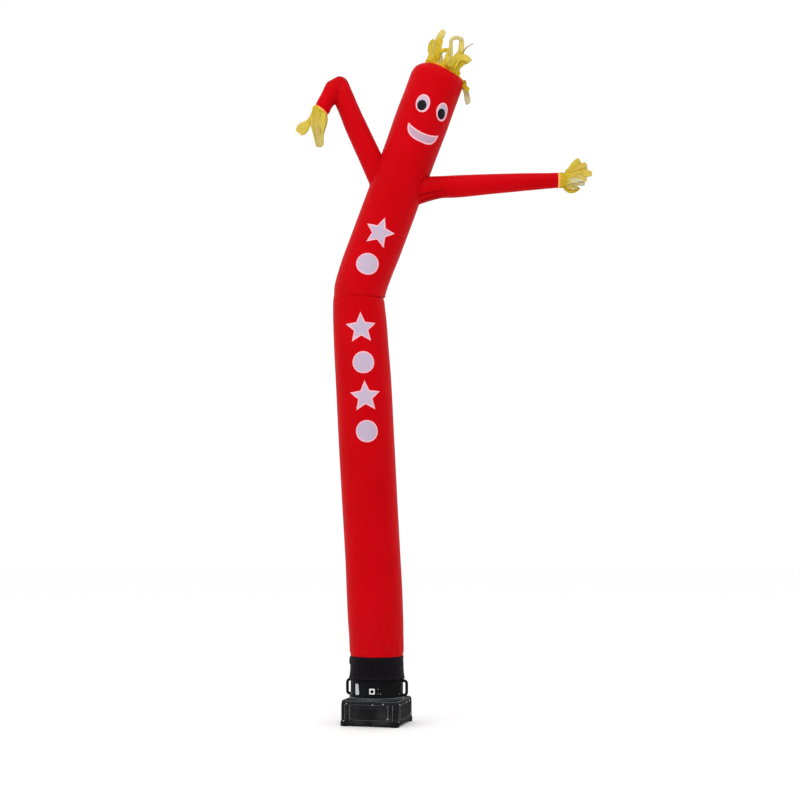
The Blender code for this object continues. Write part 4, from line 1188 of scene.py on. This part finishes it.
# ---- sleeves -----------------------------------------------------------------------
# Two tubes of the same red nylon, sewn to the body with a piped seam all round. The
# left one is bent down at its elbow, the right one blows straight out. Each table
# gives, in millimetres, the two edges of a sleeve as seen from the front, how far back it
# lies and how deep it is.
Edges = namedtuple("Edges", "inner_x inner_z outer_x outer_z y depth")
BENT_SLEEVE = (
    (-18, 4617, 174, 4701, 0, 209), (-157, 4937, 30, 5019, -25, 209),
    (-290, 5235, -110, 5314, -40, 202), (-352, 5398, -184, 5474, -45, 194),
    (-367, 5432, -234, 5592, -50, 186), (-374, 5448, -280, 5690, -50, 172),
    (-380, 5462, -318, 5717, -50, 150), (-388, 5463, -350, 5713, -52, 168),
    (-395, 5456, -403, 5690, -56, 178), (-403, 5445, -453, 5662, -62, 178),
    (-419, 5412, -497, 5566, -80, 166), (-435, 5369, -547, 5452, -108, 139),
    (-452, 5346, -564, 5429, -108, 139),
)
LONG_SLEEVE = (
    (190, 4575, 270, 4798, 0, 250), (352, 4556, 443, 4812, -4, 240),
    (430, 4584, 480, 4812, -14, 216), (507, 4610, 520, 4810, -24, 202),
    (734, 4611, 734, 4808, -72, 197), (1086, 4630, 1086, 4802, -146, 172),
    (1346, 4642, 1346, 4793, -200, 151), (1572, 4653, 1572, 4783, -248, 130),
    (1600, 4653, 1600, 4783, -248, 130),
)
SLEEVE_SIDES, SLEEVE_PITCH = 72, 0.010
Sleeve = namedtuple("Sleeve", "name node table turned elbow puckers side")
SLEEVES = (
    Sleeve("bent_sleeve", "arm_left", BENT_SLEEVE, 90.0, (-0.318, 5.717), 0.0020, "left"),
    Sleeve("straight_sleeve", "arm_right", LONG_SLEEVE, -90.0, None, 0.0009, "right"),
)


def sleeve_rows(table, turned):
    rows = []
    for row in table:
        e = Edges(*(part / 1000 for part in row))
        dx, dz = e.outer_x - e.inner_x, e.outer_z - e.inner_z
        rows.append(Section((e.inner_x + e.outer_x) / 2, e.y, (e.inner_z + e.outer_z) / 2,
                            math.degrees(math.atan2(dz, dx)) + turned, math.hypot(dx, dz), e.depth))
    return rows


def trim(rings, skin):
    """Move each column of a tube so that it starts where it comes out of the skin."""
    for j in range(len(rings[0])):
        way = [ring[j].co.copy() for ring in rings]
        first = 0
        for k in range(len(way)):
            near = skin.find_nearest(way[k])
            if near[3] < 0.30 and (way[k] - near[0]).dot(near[1]) < 0:
                first = k
        ahead = way[first + 1] - way[first]
        hit = skin.ray_cast(way[first], ahead.normalized(), ahead.length * 1.5)
        start = first + ((hit[0] - way[first]).length / ahead.length if hit[0] else 0.5)
        for k, ring in enumerate(rings):
            share = k / (len(rings) - 1)
            at = min(start + (len(way) - 1 - start) * share, len(way) - 1.0001)
            low = int(at)
            ring[j].co = way[low].lerp(way[low + 1], at - low)


sleeves, wrists, root_pipings = {}, {}, {}
for s in SLEEVES:
    rows = smooth_rows(sleeve_rows(s.table, s.turned), SLEEVE_PITCH)
    wrists[s.side] = rows[-1]
    bm = bmesh.new()
    rings = in_order(draw_tube(bm, [frame_of(row) for row in rows], SLEEVE_SIDES, capped=False))
    trim(rings, body_skin)
    face_outwards(bm)
    bm.normal_update()
    shifts = []
    for k, ring in enumerate(rings):
        share = k / (len(rings) - 1)
        for j, vert in enumerate(ring):
            # Puckers by the root's seam, gathers by the wrist, and at the elbow a sharp
            # crease with the cloth that swells before it.
            a = math.tau * j / SLEEVE_SIDES
            puckers = s.puckers * ease((0.13 - share) / 0.13) * ease(share / 0.012)
            puckers *= math.sin(a * 17 + 2 * math.sin(a * 3))
            gather = 0.0022 * ease((share - 0.90) / 0.08) * math.sin(a * 19 + math.sin(a * 2))
            wide = 0.0020 * noise.noise(vert.co * 4.5)
            bend = 0.0
            if s.elbow:
                off = math.hypot(vert.co.x - s.elbow[0], vert.co.z - s.elbow[1])
                line = vert.co.x - s.elbow[0] + 0.006
                notch = -0.0060 * hump(line, 0.0, 0.0080) * ease((0.205 - off) / 0.08)
                bend = notch * ease(off / 0.03)
                bend += 0.0095 * hump(line, -0.030, 0.022) * ease((0.215 - off) / 0.1)
            shifts.append((vert, vert.normal * (puckers + gather + wide + bend)))
    for vert, shift in shifts:
        vert.co += shift
    unroll(bm, rings, math.pi * rows[len(rows) // 2].width)
    face_outwards(bm)
    root = [v.co.copy() for v in rings[0]]
    run = sum((rings[k + 1][0].co - rings[k][0].co).length for k in range(len(rings) - 1))
    area = sum(f.calc_area() for f in bm.faces)
    piece = smooth_object(s.name, bm, [red_cloth])
    give_thickness(piece, CLOTH)
    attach(piece, "root")
    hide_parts(s.node)
    sleeves[s.side] = (piece, area, run)

    # The seam at the root: piping 7 mm across, sewn in with the sleeve's edge.
    bm = bmesh.new()
    outs = [body_skin.find_nearest(point)[1] for point in root]
    middle = sum(root, Vector()) / len(root)
    frames = []
    for k, point in enumerate(root):
        ahead = root[(k + 1) % len(root)] - root[k - 1]
        lifted = point + outs[k] * 0.0016 + (point - middle).normalized() * 0.0012
        frames.append(frame_at(lifted, ahead, 0.0036, 0.0030, outs[k].cross(ahead)))
    rings = draw_tube(bm, frames + [frames[0]], 10, capped=False)
    bmesh.ops.remove_doubles(bm, verts=bm.verts[:], dist=1e-5)
    face_outwards(bm)
    lay_flat(bm, lambda co: (co.x + co.y, co.z))
    piping = smooth_object(f"{s.side}_root_piping", bm, [seam_red])
    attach(piping, "root")
    root_pipings[s.side] = piping

# ---- face and emblems --------------------------------------------------------------
# Patches of pale lilac-grey nylon zigzagged on with pinkish edges: two oval eyes with
# black pupils, a broad smile below them, and a row of stars and discs down the chest.
# A patch is placed by its turn round the body, a height, and how far up the body's axis
# it sits from there.
EYE, EYE_UP, EYE_TILT = (0.126, 0.166), -0.141, 9.0
EYE_TURNS = (-6.0, 41.0)
PUPIL, PUPIL_SHIFT = (0.082, 0.096), (-0.003, -0.020)
MOUTH_TURN, MOUTH_UP = 16.5, -0.343
MOUTH_HALF, MOUTH_DROP, MOUTH_THICK = 0.156, 0.132, 0.085
MOUTH_FULL, MOUTH_BLUNT = (2.3, 2.9), 0.45
FACE_Z = 5.539
EMBLEM_LEVELS, EMBLEM_TURN = (4.260, 3.980, 3.410, 3.110, 2.810, 2.510), 3.0
STAR_R, STAR_WAIST, DISC_R = 0.142, 0.46, 0.096
RIM, EMBLEM_RIM = 0.0120, 0.0096
PATCH_LIFT, PATCH_THICK, STITCH_LIFT = 0.0007, 0.0009, 0.0010
STITCH_IN, EMBLEM_STITCH_IN = 0.0040, 0.0036      # from the patch's edge

pale_cloth = nylon("pale_nylon_cloth", (0.58, 0.47, 0.60), (0.50, 0.40, 0.52),
                   glow=0.12, roughness=0.5)
# The smile is pinker than the eyes: partly its own tone, partly a painted reflection of the red
# cloth round it.
smile_cloth_partly_painted_reflection = nylon("pinkish_smile_cloth", (0.57, 0.37, 0.47), (0.49, 0.31, 0.39),
                    glow=0.12, roughness=0.5)
rim_cloth = nylon("pinkish_rim", (0.96, 0.47, 0.55), (0.90, 0.39, 0.46),
                  pitch=0.0022, roughness=0.55)
pupil_cloth = nylon("pupil_nylon_cloth", (0.0040, 0.0038, 0.0050), (0.0090, 0.0080, 0.0100),
                    roughness=0.42)
pale_thread = thread_of("pale_thread", (0.80, 0.55, 0.60), (0.95, 0.85, 0.87))


def oval(width, height, count=72):
    return [(width / 2 * math.sin(a), height / 2 * math.cos(a))
            for a in (math.tau * k / count for k in range(count))]


def star(reach, waist, count=12):
    corners = [((reach, reach * waist)[k % 2] * math.sin(math.pi * k / 5),
                (reach, reach * waist)[k % 2] * math.cos(math.pi * k / 5)) for k in range(10)]
    return dotted(corners + corners[:1], lambda length: count)


def smile(count=60):
    """Crescent between two bows, blunt at its tips and fuller on the right."""
    lower = [(MOUTH_HALF * t,
              -MOUTH_DROP * max(0.0, 1 - abs(t) ** MOUTH_FULL[t > 0]) ** MOUTH_BLUNT)
             for t in (math.sin(math.pi * (k / count - 0.5)) for k in range(count + 1))]
    upper = [(MOUTH_HALF * t, -(MOUTH_DROP - MOUTH_THICK) * (1 - t * t))
             for t in (1 - 2 * k / count for k in range(1, count))]
    return lower + upper


def turned(points, degrees, shift=(0.0, 0.0)):
    a = math.radians(degrees)
    return [(x * math.cos(a) - y * math.sin(a) + shift[0],
             x * math.sin(a) + y * math.cos(a) + shift[1]) for x, y in points]


class Wrap:
    """Carries a flat drawing on to the body: x goes round it and y up its axis."""

    def __init__(self, z, turn, up):
        base = min(body_rows(), key=lambda s: abs(s.z - z))
        heading = math.radians(base.heading)
        self.axis = Vector((math.cos(heading), 0, math.sin(heading)))
        self.across = Vector((math.sin(heading), 0, -math.cos(heading)))
        up += (z - base.z) / math.sin(heading)
        self.middle = Vector((base.x, 0, base.z)) + self.axis * up
        self.turn, self.radius = math.radians(turn), base.width / 2

    def place(self, x, y):
        angle = self.turn + x / self.radius
        out = self.across * math.sin(angle) + Vector((0, -1, 0)) * math.cos(angle)
        hit = body_skin.ray_cast(self.middle + self.axis * y + out * REACH, -out, REACH)
        return hit[0], (hit[1] * 0.4 + out * 0.6).normalized()


def cut_patch(name, wrap, outline, cloths, rim_width=0.0, layers=1.0):
    """A patch of the first cloth, with a rim of the second round its edge, laid on the
    body as high as a number of layers."""
    bm = bmesh.new()
    face = bm.faces.new([bm.verts.new((x, y, 0)) for x, y in outline])
    face_outwards(bm)
    if face.normal.z < 0:
        bmesh.ops.reverse_faces(bm, faces=bm.faces[:])
    if rim_width:
        border = bmesh.ops.inset_region(bm, faces=[face], thickness=rim_width,
                                        use_boundary=True, use_even_offset=True)["faces"]
        for each in border:
            each.material_index = 1
    for axis in (0, 1):
        low, high = min(p[axis] for p in outline), max(p[axis] for p in outline)
        count = int((high - low) / 0.010)
        for k in range(1, count + 1):
            at = [0, 0, 0]
            at[axis] = low + (high - low) * k / (count + 1)
            bmesh.ops.bisect_plane(bm, geom=bm.verts[:] + bm.edges[:] + bm.faces[:],
                                   plane_co=at, plane_no=(axis == 0, axis == 1, 0), dist=1e-6)
    lay_flat(bm, lambda co: co.xy)
    rim_verts = {v for f in bm.faces if f.material_index for v in f.verts}
    for vert in bm.verts:
        x, y = vert.co.xy
        point, out = wrap.place(x, y)
        ridge = 0.0008 if vert in rim_verts and not vert.is_boundary else 0.0
        wave = 0.0006 * noise.noise(Vector((x * 30, y * 30, 1)))
        vert.co = point + out * (PATCH_LIFT + layers * PATCH_THICK + ridge + wave)
    bmesh.ops.triangulate(bm, faces=[f for f in bm.faces if len(f.verts) > 4])
    made = smooth_object(name, bm, cloths)
    give_thickness(made, PATCH_THICK)
    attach(made, "root")
    return made


def zigzag(wrap, outline, pitch=0.0042, sway=0.0026):
    """Places of a row of zigzag stitches along a closed outline."""
    points, outs = [], []
    for x, y in dotted(outline + outline[:1], lambda length: max(2, int(length / 0.0012))):
        point, out = wrap.place(x, y)
        points.append(point + out * (PATCH_LIFT + PATCH_THICK + STITCH_LIFT))
        outs.append(out)
    return stitch_line(points, outs, pitch, 0.0, sway)


def shrunk(outline, by):
    """Outline drawn in by a distance, measured along each corner's inward bisector."""
    corners = [Vector(point) for point in outline]
    area = sum(a.x * b.y - b.x * a.y for a, b in zip(corners, corners[1:] + corners[:1]))
    sign = 1 if area > 0 else -1
    drawn = []
    for k, here in enumerate(corners):
        a = (here - corners[k - 1]).normalized()
        b = (corners[(k + 1) % len(corners)] - here).normalized()
        inward = (Vector((-a.y, a.x)) + Vector((-b.y, b.x))) * sign
        if inward.length > 0.3:
            drawn.append(tuple(here + inward.normalized() * by))
    return drawn


patches = []
places = []
eye_outline = turned(oval(*EYE), EYE_TILT)
pupil_outline = turned(oval(*PUPIL), EYE_TILT, PUPIL_SHIFT)
for side, turn in zip(("left", "right"), EYE_TURNS):
    wrap = Wrap(FACE_Z, turn, EYE_UP)
    eye = cut_patch(f"{side}_eye_white", wrap, eye_outline, [pale_cloth, rim_cloth], RIM)
    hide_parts(f"eye_{side}")
    pupil = cut_patch(f"{side}_eye_pupil", wrap, pupil_outline, [pupil_cloth], layers=2.4)
    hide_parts(f"pupil_{side}")
    places += zigzag(wrap, shrunk(eye_outline, STITCH_IN))
    patches += [eye, pupil]
wrap = Wrap(FACE_Z, MOUTH_TURN, MOUTH_UP)
mouth = cut_patch("smile_patch", wrap, smile(), [smile_cloth_partly_painted_reflection, rim_cloth], RIM)
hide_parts("mouth")
places += zigzag(wrap, shrunk(smile(), STITCH_IN))
patches.append(mouth)
for k, z in enumerate(EMBLEM_LEVELS):
    wrap = Wrap(z, EMBLEM_TURN, 0.0)
    outline = oval(2 * DISC_R, 2 * DISC_R) if k % 2 else star(STAR_R, STAR_WAIST)
    kind = "disc" if k % 2 else "star"
    emblem = cut_patch(f"{kind}_emblem_{k + 1}", wrap, outline, [pale_cloth, rim_cloth], EMBLEM_RIM)
    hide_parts(f"motif_{k + 1}")
    places += zigzag(wrap, shrunk(outline, EMBLEM_STITCH_IN))
    patches.append(emblem)
patch_stitches = strew("patch_stitching", stitch_form, places, pale_thread)

# ---- streamers on the head ---------------------------------------------------------
# The vent in the crown is bound with a 14 mm band of orange-yellow nylon. Its free edge
# runs out into loose ribbons of thin yellow nylon, 16 to 60 mm wide, that the leaving air
# blows about.
# Each row gives where a ribbon leaves the ring (degrees from the front to the viewer's
# right), its widths at the root and the tip, how far it twists, its tone between the
# two yellows, how far its tip pales, and the points that it passes, from the middle of
# the ring. Its lengths are in millimetres.
Streamer = namedtuple("Streamer", "turn width tip_width roll tone pale ways")


def streamers(*rows):
    return [Streamer(turn, width / 1000, tip / 1000, roll, tone, pale,
                     [Vector([part / 1000 for part in point]) for point in ways])
            for turn, width, tip, roll, tone, pale, ways in rows]


HAIR = streamers(
    (-62, 46, 56, 6, 0.25, 0.25, ((-122, -60, 141), (-131, -60, 196), (-122, -60, 247),
     (-91, -60, 284))),
    (-54, 52, 62, 8, 0.3, 0.45, ((-109, -90, 130), (-98, -100, 191), (-71, -105, 254),
     (-40, -105, 310), (-9, -100, 364))),
    (-44, 54, 58, -10, 0.7, 0.1, ((-69, -140, 103), (-62, -145, 166), (-53, -150, 219),
     (-43, -150, 269))),
    (-34, 42, 36, 10, 0.55, 0.1, ((-70, -155, 98), (-57, -165, 138), (-16, -170, 154),
     (32, -175, 159))),
    (-8, 60, 34, -8, 0.4, 0.25, ((9, -190, 45), (26, -195, 107), (47, -195, 180),
     (49, -190, 256))),
    (6, 36, 34, 10, 0.45, 0.7, ((38, -190, 36), (48, -200, 110), (48, -205, 191), (56, -205, 240),
     (94, -200, 259), (159, -195, 250))),
    (28, 48, 52, -8, 0.35, 0.45, ((90, -170, 29), (119, -180, 99), (141, -185, 170),
     (142, -190, 253))),
    (20, 58, 60, -8, 0.3, 0.2, ((70, -180, 7), (111, -190, 69), (165, -195, 81),
     (223, -190, 43))),
    (38, 46, 58, 10, 0.6, 0.12, ((107, -150, -10), (137, -160, 28), (170, -165, 55),
     (204, -160, 52))),
    (12, 56, 44, -6, 0.65, 0.15, ((45, -185, 5), (70, -190, 54), (103, -190, 104),
     (138, -190, 146))),
    (32, 16, 8, 30, 0.95, 0.4, ((145, -130, 98), (172, -140, 168), (211, -140, 206),
     (251, -140, 227))),
    (94, 30, 40, 10, 0.8, 0, ((169, -30, -127), (191, -35, -143), (212, -35, -173))),
    (96, 46, 54, 14, 0.98, 1, ((175, 0, -131), (189, 0, -168), (201, -5, -225),
     (209, -10, -289))),
    (150, 50, 40, 14, 0.65, 0.2, ((120, 120, 91), (143, 130, 160), (176, 140, 201))),
    (172, 50, 34, -15, 0.5, 0.25, ((44, 160, 161), (58, 170, 250), (63, 180, 338))),
    (200, 50, 46, -10, 0.4, 0.95, ((-31, 170, 174), (-38, 170, 221), (-31, 170, 261))),
    (232, 56, 46, 14, 0.6, 0.3, ((-95, 110, 219), (-85, 120, 288), (-53, 120, 345))),
    (258, 50, 44, -10, 0.8, 0.2, ((-119, 50, 198), (-118, 60, 267), (-91, 60, 314))),
)
ACROSS = 6                       # faces across a ribbon
RIBBON = 0.0005


def streamer_nylon(name, colour, shade, pale, glow):
    """Thin uncoated nylon for ribbons: each one has its own tone and pales to its tip."""
    made = Finish(name, Specular_IOR_Level=0.07, Roughness=0.42)
    tint = made.add("ShaderNodeAttribute", attribute_name="ribbon").outputs["Color"]
    tint = made.add("ShaderNodeSeparateColor", {"Color": tint}).outputs
    threads = weave(made, 0.0045)[1]
    ripple = made.noise(34.0, 4.0)
    tone = made.mix(tint["Red"], colour, shade)
    tone = made.mix(made.calc("MULTIPLY", tint["Green"], tint["Blue"]), tone, pale)
    tone = made.mix(made.span(ripple, 0.35, 0.75, 0.0, 0.35), tone, shade)
    tone = made.mix(made.calc("MULTIPLY", threads, 0.25), tone, shade)
    made.feed(Base_Color=tone)
    made.shape_by(made.calc("ADD", made.calc("MULTIPLY", threads, 0.15), ripple), 0.0012, 0.5)
    lit_through(made, tone, glow)
    return made


yellow_ribbon = streamer_nylon("yellow_ribbon_nylon", (0.83, 0.73, 0.032), (0.69, 0.47, 0.005),
                               (0.72, 0.74, 0.60), 0.42)
band_cloth = nylon("orange_yellow_band", (0.92, 0.34, 0.010), (0.84, 0.24, 0.006), pitch=0.0040,
                   glow=0.2)


def smooth_way(points, steps):
    """Points along a smooth curve through the given ones."""
    way = [points[0]] + list(points) + [points[-1]]
    path = []
    for a, b, c, d in zip(way, way[1:], way[2:], way[3:]):
        for k in range(steps):
            t = k / steps
            path.append(0.5 * ((2 * b) + (c - a) * t + (2 * a - 5 * b + 4 * c - d) * t * t
                               + (3 * b - a - 3 * c + d) * t * t * t))
    path.append(points[-1])
    return path


def ribbon(bm, path, side, s, wave):
    """Lay one ribbon along the path. It leaves the ring along side and soon turns its
    face to the front; wave is how far it flutters out of its own plane."""
    count = len(path) - 1
    made = bmesh.ops.create_grid(bm, x_segments=ACROSS, y_segments=count, size=0.5)["verts"]
    frames, run = [], [0.0]
    for k in range(count + 1):
        ahead = ahead_at(path, k).normalized()
        if k:
            run.append(run[-1] + (path[k] - path[k - 1]).length)
        facing = ahead.cross(Vector((0, -1, 0)))
        facing *= -1 if facing.dot(side) < 0 else 1
        side = side.lerp(facing.normalized(), 0.22)
        side = (side - ahead * side.dot(ahead)).normalized()
        sway = 0.22 * math.sin(run[-1] * 30 + s.tone * 9) * ease(run[-1] / 0.08)
        roll = math.radians(s.roll) * k / count + sway
        frames.append((ahead, Matrix.Rotation(roll, 3, ahead) @ side))
    uv = bm.loops.layers.uv.verify()
    tint = bm.verts.layers.float_color["ribbon"]
    for face in {f for v in made for f in v.link_faces}:
        for loop in face.loops:
            loop[uv].uv = (loop.vert.co.x * s.width, (loop.vert.co.y + 0.5) * run[-1])
    for vert in made:
        across, k = vert.co.x, round((vert.co.y + 0.5) * count)
        share = k / count
        ahead, flat = frames[k]
        out = flat.cross(ahead)
        # It widens or narrows to its tip, flutters, and curls across itself.
        wide = s.width + (s.tip_width - s.width) * ease((share - 0.42) / 0.45)
        wide *= 1 - 0.30 * ease((share - 0.88) / 0.12)
        free = ease(run[k] / 0.07)
        flutter = wave * free * (0.35 + 0.65 * share)
        flutter *= math.sin(run[k] * 62 + s.tone * 20 + across * 2.6)
        cup = wide * (0.34 * math.sin(s.tone * 31 + run[k] * 21) + 0.12)
        cup *= (0.25 - across * across) * free
        pleat = 0.0022 * free * math.sin(across * 15 + s.tone * 7 + run[k] * 9)
        slant = 0.007 * across * math.sin(s.tone * 17) * ease((share - 0.8) / 0.2)
        vert.co = path[k] + flat * (wide * across) + out * (flutter + cup + pleat) + ahead * slant
        vert[tint] = (s.tone, share, s.pale, 1.0)


def axis_of(ring):
    return (frame_of(ring).to_3x3() @ UP).normalized()


def fringe(name, ring, ribbons, root_at, rise, lift, wave, steps=9):
    """Ribbons that leave a ring: each starts root_at along its axis and lift off it, and
    keeps straight for rise."""
    place, ahead = frame_of(ring), axis_of(ring)
    middle = Vector((ring.x, ring.y, ring.z))
    bm = bmesh.new()
    bm.verts.layers.float_color.new("ribbon")
    for s in ribbons:
        a = math.radians(s.turn)
        rim = place @ Vector((-math.sin(a), math.cos(a), 0))
        outwards = (rim - middle).normalized()
        root = rim + outwards * lift + ahead * root_at
        points = [root, root + ahead * rise] + [middle + way for way in s.ways]
        ribbon(bm, smooth_way(points, steps), ahead.cross(outwards), s, wave)
    made = smooth_object(name, bm, [yellow_ribbon])
    give_thickness(made, RIBBON, 0.0)
    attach(made, "root")
    return made


def cuff(name, ring, low, high, grow, cloth, gathers, bead=0.0010):
    """Short gathered tube of cloth round the ring, from low to high along its axis."""
    ahead = axis_of(ring)
    count = max(4, round((high - low) / 0.0025))
    rows = []
    for k in range(count + 1):
        at = low + (high - low) * k / count
        rows.append(ring._replace(x=ring.x + ahead.x * at, z=ring.z + ahead.z * at,
                                  width=ring.width + 2 * grow, depth=ring.depth + 2 * grow))
    bm = bmesh.new()
    rings = in_order(draw_tube(bm, [frame_of(r) for r in rows], 144, capped=False))
    for k, (each, row) in enumerate(zip(rings, rows)):
        share = k / count
        edge = hump(share, 0.06, 0.05) + hump(share, 0.94, 0.05)
        for j, vert in enumerate(each):
            a = math.tau * j / len(each)
            out = (vert.co - Vector(row[:3])).normalized()
            fold = gathers * (0.5 + 0.5 * math.sin(a * 19 + 1.7 * math.sin(a * 3) + share * 1.2))
            vert.co += out * (fold + bead * edge)
    unroll(bm, rings, math.pi * ring.width)
    face_outwards(bm)
    made = smooth_object(name, bm, [cloth])
    give_thickness(made, CLOTH)
    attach(made, "root")
    return made


vent_ring = body_rows()[-1]
hair_band = cuff("head_band", vent_ring, -0.007, 0.007, 0.0022, band_cloth, 0.0008)
hair = fringe("head_streamers", vent_ring, HAIR, 0.003, 0.014, 0.0035, 0.0035)
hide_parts("hair")

# ---- streamers on the hands --------------------------------------------------------
# A strip of bright orange-pink nylon, 12 mm wide on the left and 18 mm on the right,
# binds a cuff of yellow nylon to each wrist, 22 and 58 mm long, whose end is slit into
# ribbons. The left ones hang in a bunch but for one blown aside; the right ones stream
# out and fan a little.
HAND_LEFT = streamers(
    (34, 44, 46, 4, 0.35, 0.4, ((-57, -62, -35), (-71, -64, -90), (-65, -60, -143),
     (-46, -55, -210), (-28, -48, -280), (-21, -45, -343))),
    (12, 64, 44, -6, 0.75, 0.45, ((-23, -78, -62), (-28, -80, -117), (-26, -72, -188),
     (-14, -60, -266), (-2, -52, -348))),
    (-24, 64, 42, 6, 0.25, 0.4, ((19, -74, -79), (17, -76, -134), (9, -66, -204), (6, -56, -274),
     (10, -50, -338))),
    (-62, 48, 36, -8, 0.85, 0.35, ((43, -50, -84), (38, -52, -136), (24, -50, -190),
     (14, -46, -253), (16, -42, -331))),
    (58, 18, 104, -6, 0.4, 0.25, ((-67, -40, -16), (-93, -44, -79), (-116, -48, -128),
     (-151, -55, -173), (-191, -60, -221))),
    (126, 32, 36, 8, 0.45, 0.3, ((-59, 20, -19), (-71, 10, -81), (-55, 6, -174), (-28, 0, -285))),
    (152, 60, 40, 10, 0.6, 0.2, ((-52, 45, -25), (-65, 40, -100), (-44, 28, -186),
     (-19, 12, -291))),
    (-144, 52, 42, -8, 0.7, 0.2, ((9, 45, -43), (-3, 40, -136), (-4, 26, -214), (0, 12, -300))),
)
HAND_RIGHT = streamers(
    (-70, 60, 66, 6, 0.3, 0.2, ((87, -20, 74), (135, -30, 134), (178, -40, 169))),
    (-50, 56, 52, -10, 0.8, 0.25, ((96, -50, 53), (164, -70, 97), (229, -80, 125))),
    (-20, 56, 60, 10, 0.45, 0.25, ((102, -70, 21), (186, -100, 35), (270, -120, 30))),
    (6, 44, 46, -14, 0.55, 0.35, ((102, -70, -6), (168, -100, 2), (220, -120, -36))),
    (24, 50, 50, 10, 0.35, 1, ((84, -70, -24), (121, -90, -22), (159, -100, -34))),
    (44, 42, 42, -8, 0.35, 1, ((94, -60, -43), (153, -75, -47), (213, -80, -48))),
    (78, 46, 34, 8, 0.85, 0.15, ((59, -20, -78), (88, -30, -103), (130, -40, -103),
     (168, -40, -75))),
    (62, 36, 30, -8, 0.6, 0.35, ((77, -50, -72), (124, -60, -73), (154, -60, -91))),
    (-110, 60, 60, 10, 0.6, 0.15, ((97, 30, 78), (151, 30, 128), (203, 20, 152))),
    (-150, 60, 56, -8, 0.5, 0.2, ((118, 60, 68), (188, 50, 106), (253, 40, 113))),
    (170, 56, 50, 8, 0.7, 0.2, ((119, 70, 39), (189, 60, 64), (249, 50, 43))),
    (120, 50, 44, -8, 0.75, 0.2, ((90, 50, -29), (124, 40, -40), (157, 30, -43))),
)

wrist_cloth = nylon("orange_wrist_binding", (0.97, 0.44, 0.14), (0.92, 0.34, 0.08),
                    pitch=0.0030, roughness=0.5)
cuff_cloth = nylon("yellow_cuff", (0.74, 0.57, 0.045), (0.60, 0.40, 0.010), pitch=0.0045, glow=0.3)
for side, table, bound, cuff_long, root_at, rise in (
        ("left", HAND_LEFT, 0.012, 0.022, 0.010, 0.012),
        ("right", HAND_RIGHT, 0.018, 0.058, 0.052, 0.010)):
    wrist = wrists[side]
    binding = cuff(f"{side}_wrist_binding", wrist, 0.002 - bound, 0.002, 0.0024, wrist_cloth,
                   0.0006)
    hand_cuff = cuff(f"{side}_hand_cuff", wrist, 0.0, cuff_long, 0.0010, cuff_cloth, 0.0024)
    ribbons = fringe(f"{side}_hand_streamers", wrist, table, root_at, rise, 0.0020, 0.0025)
    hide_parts(f"hand_{side}")
    piece, area, run = sleeves[side]
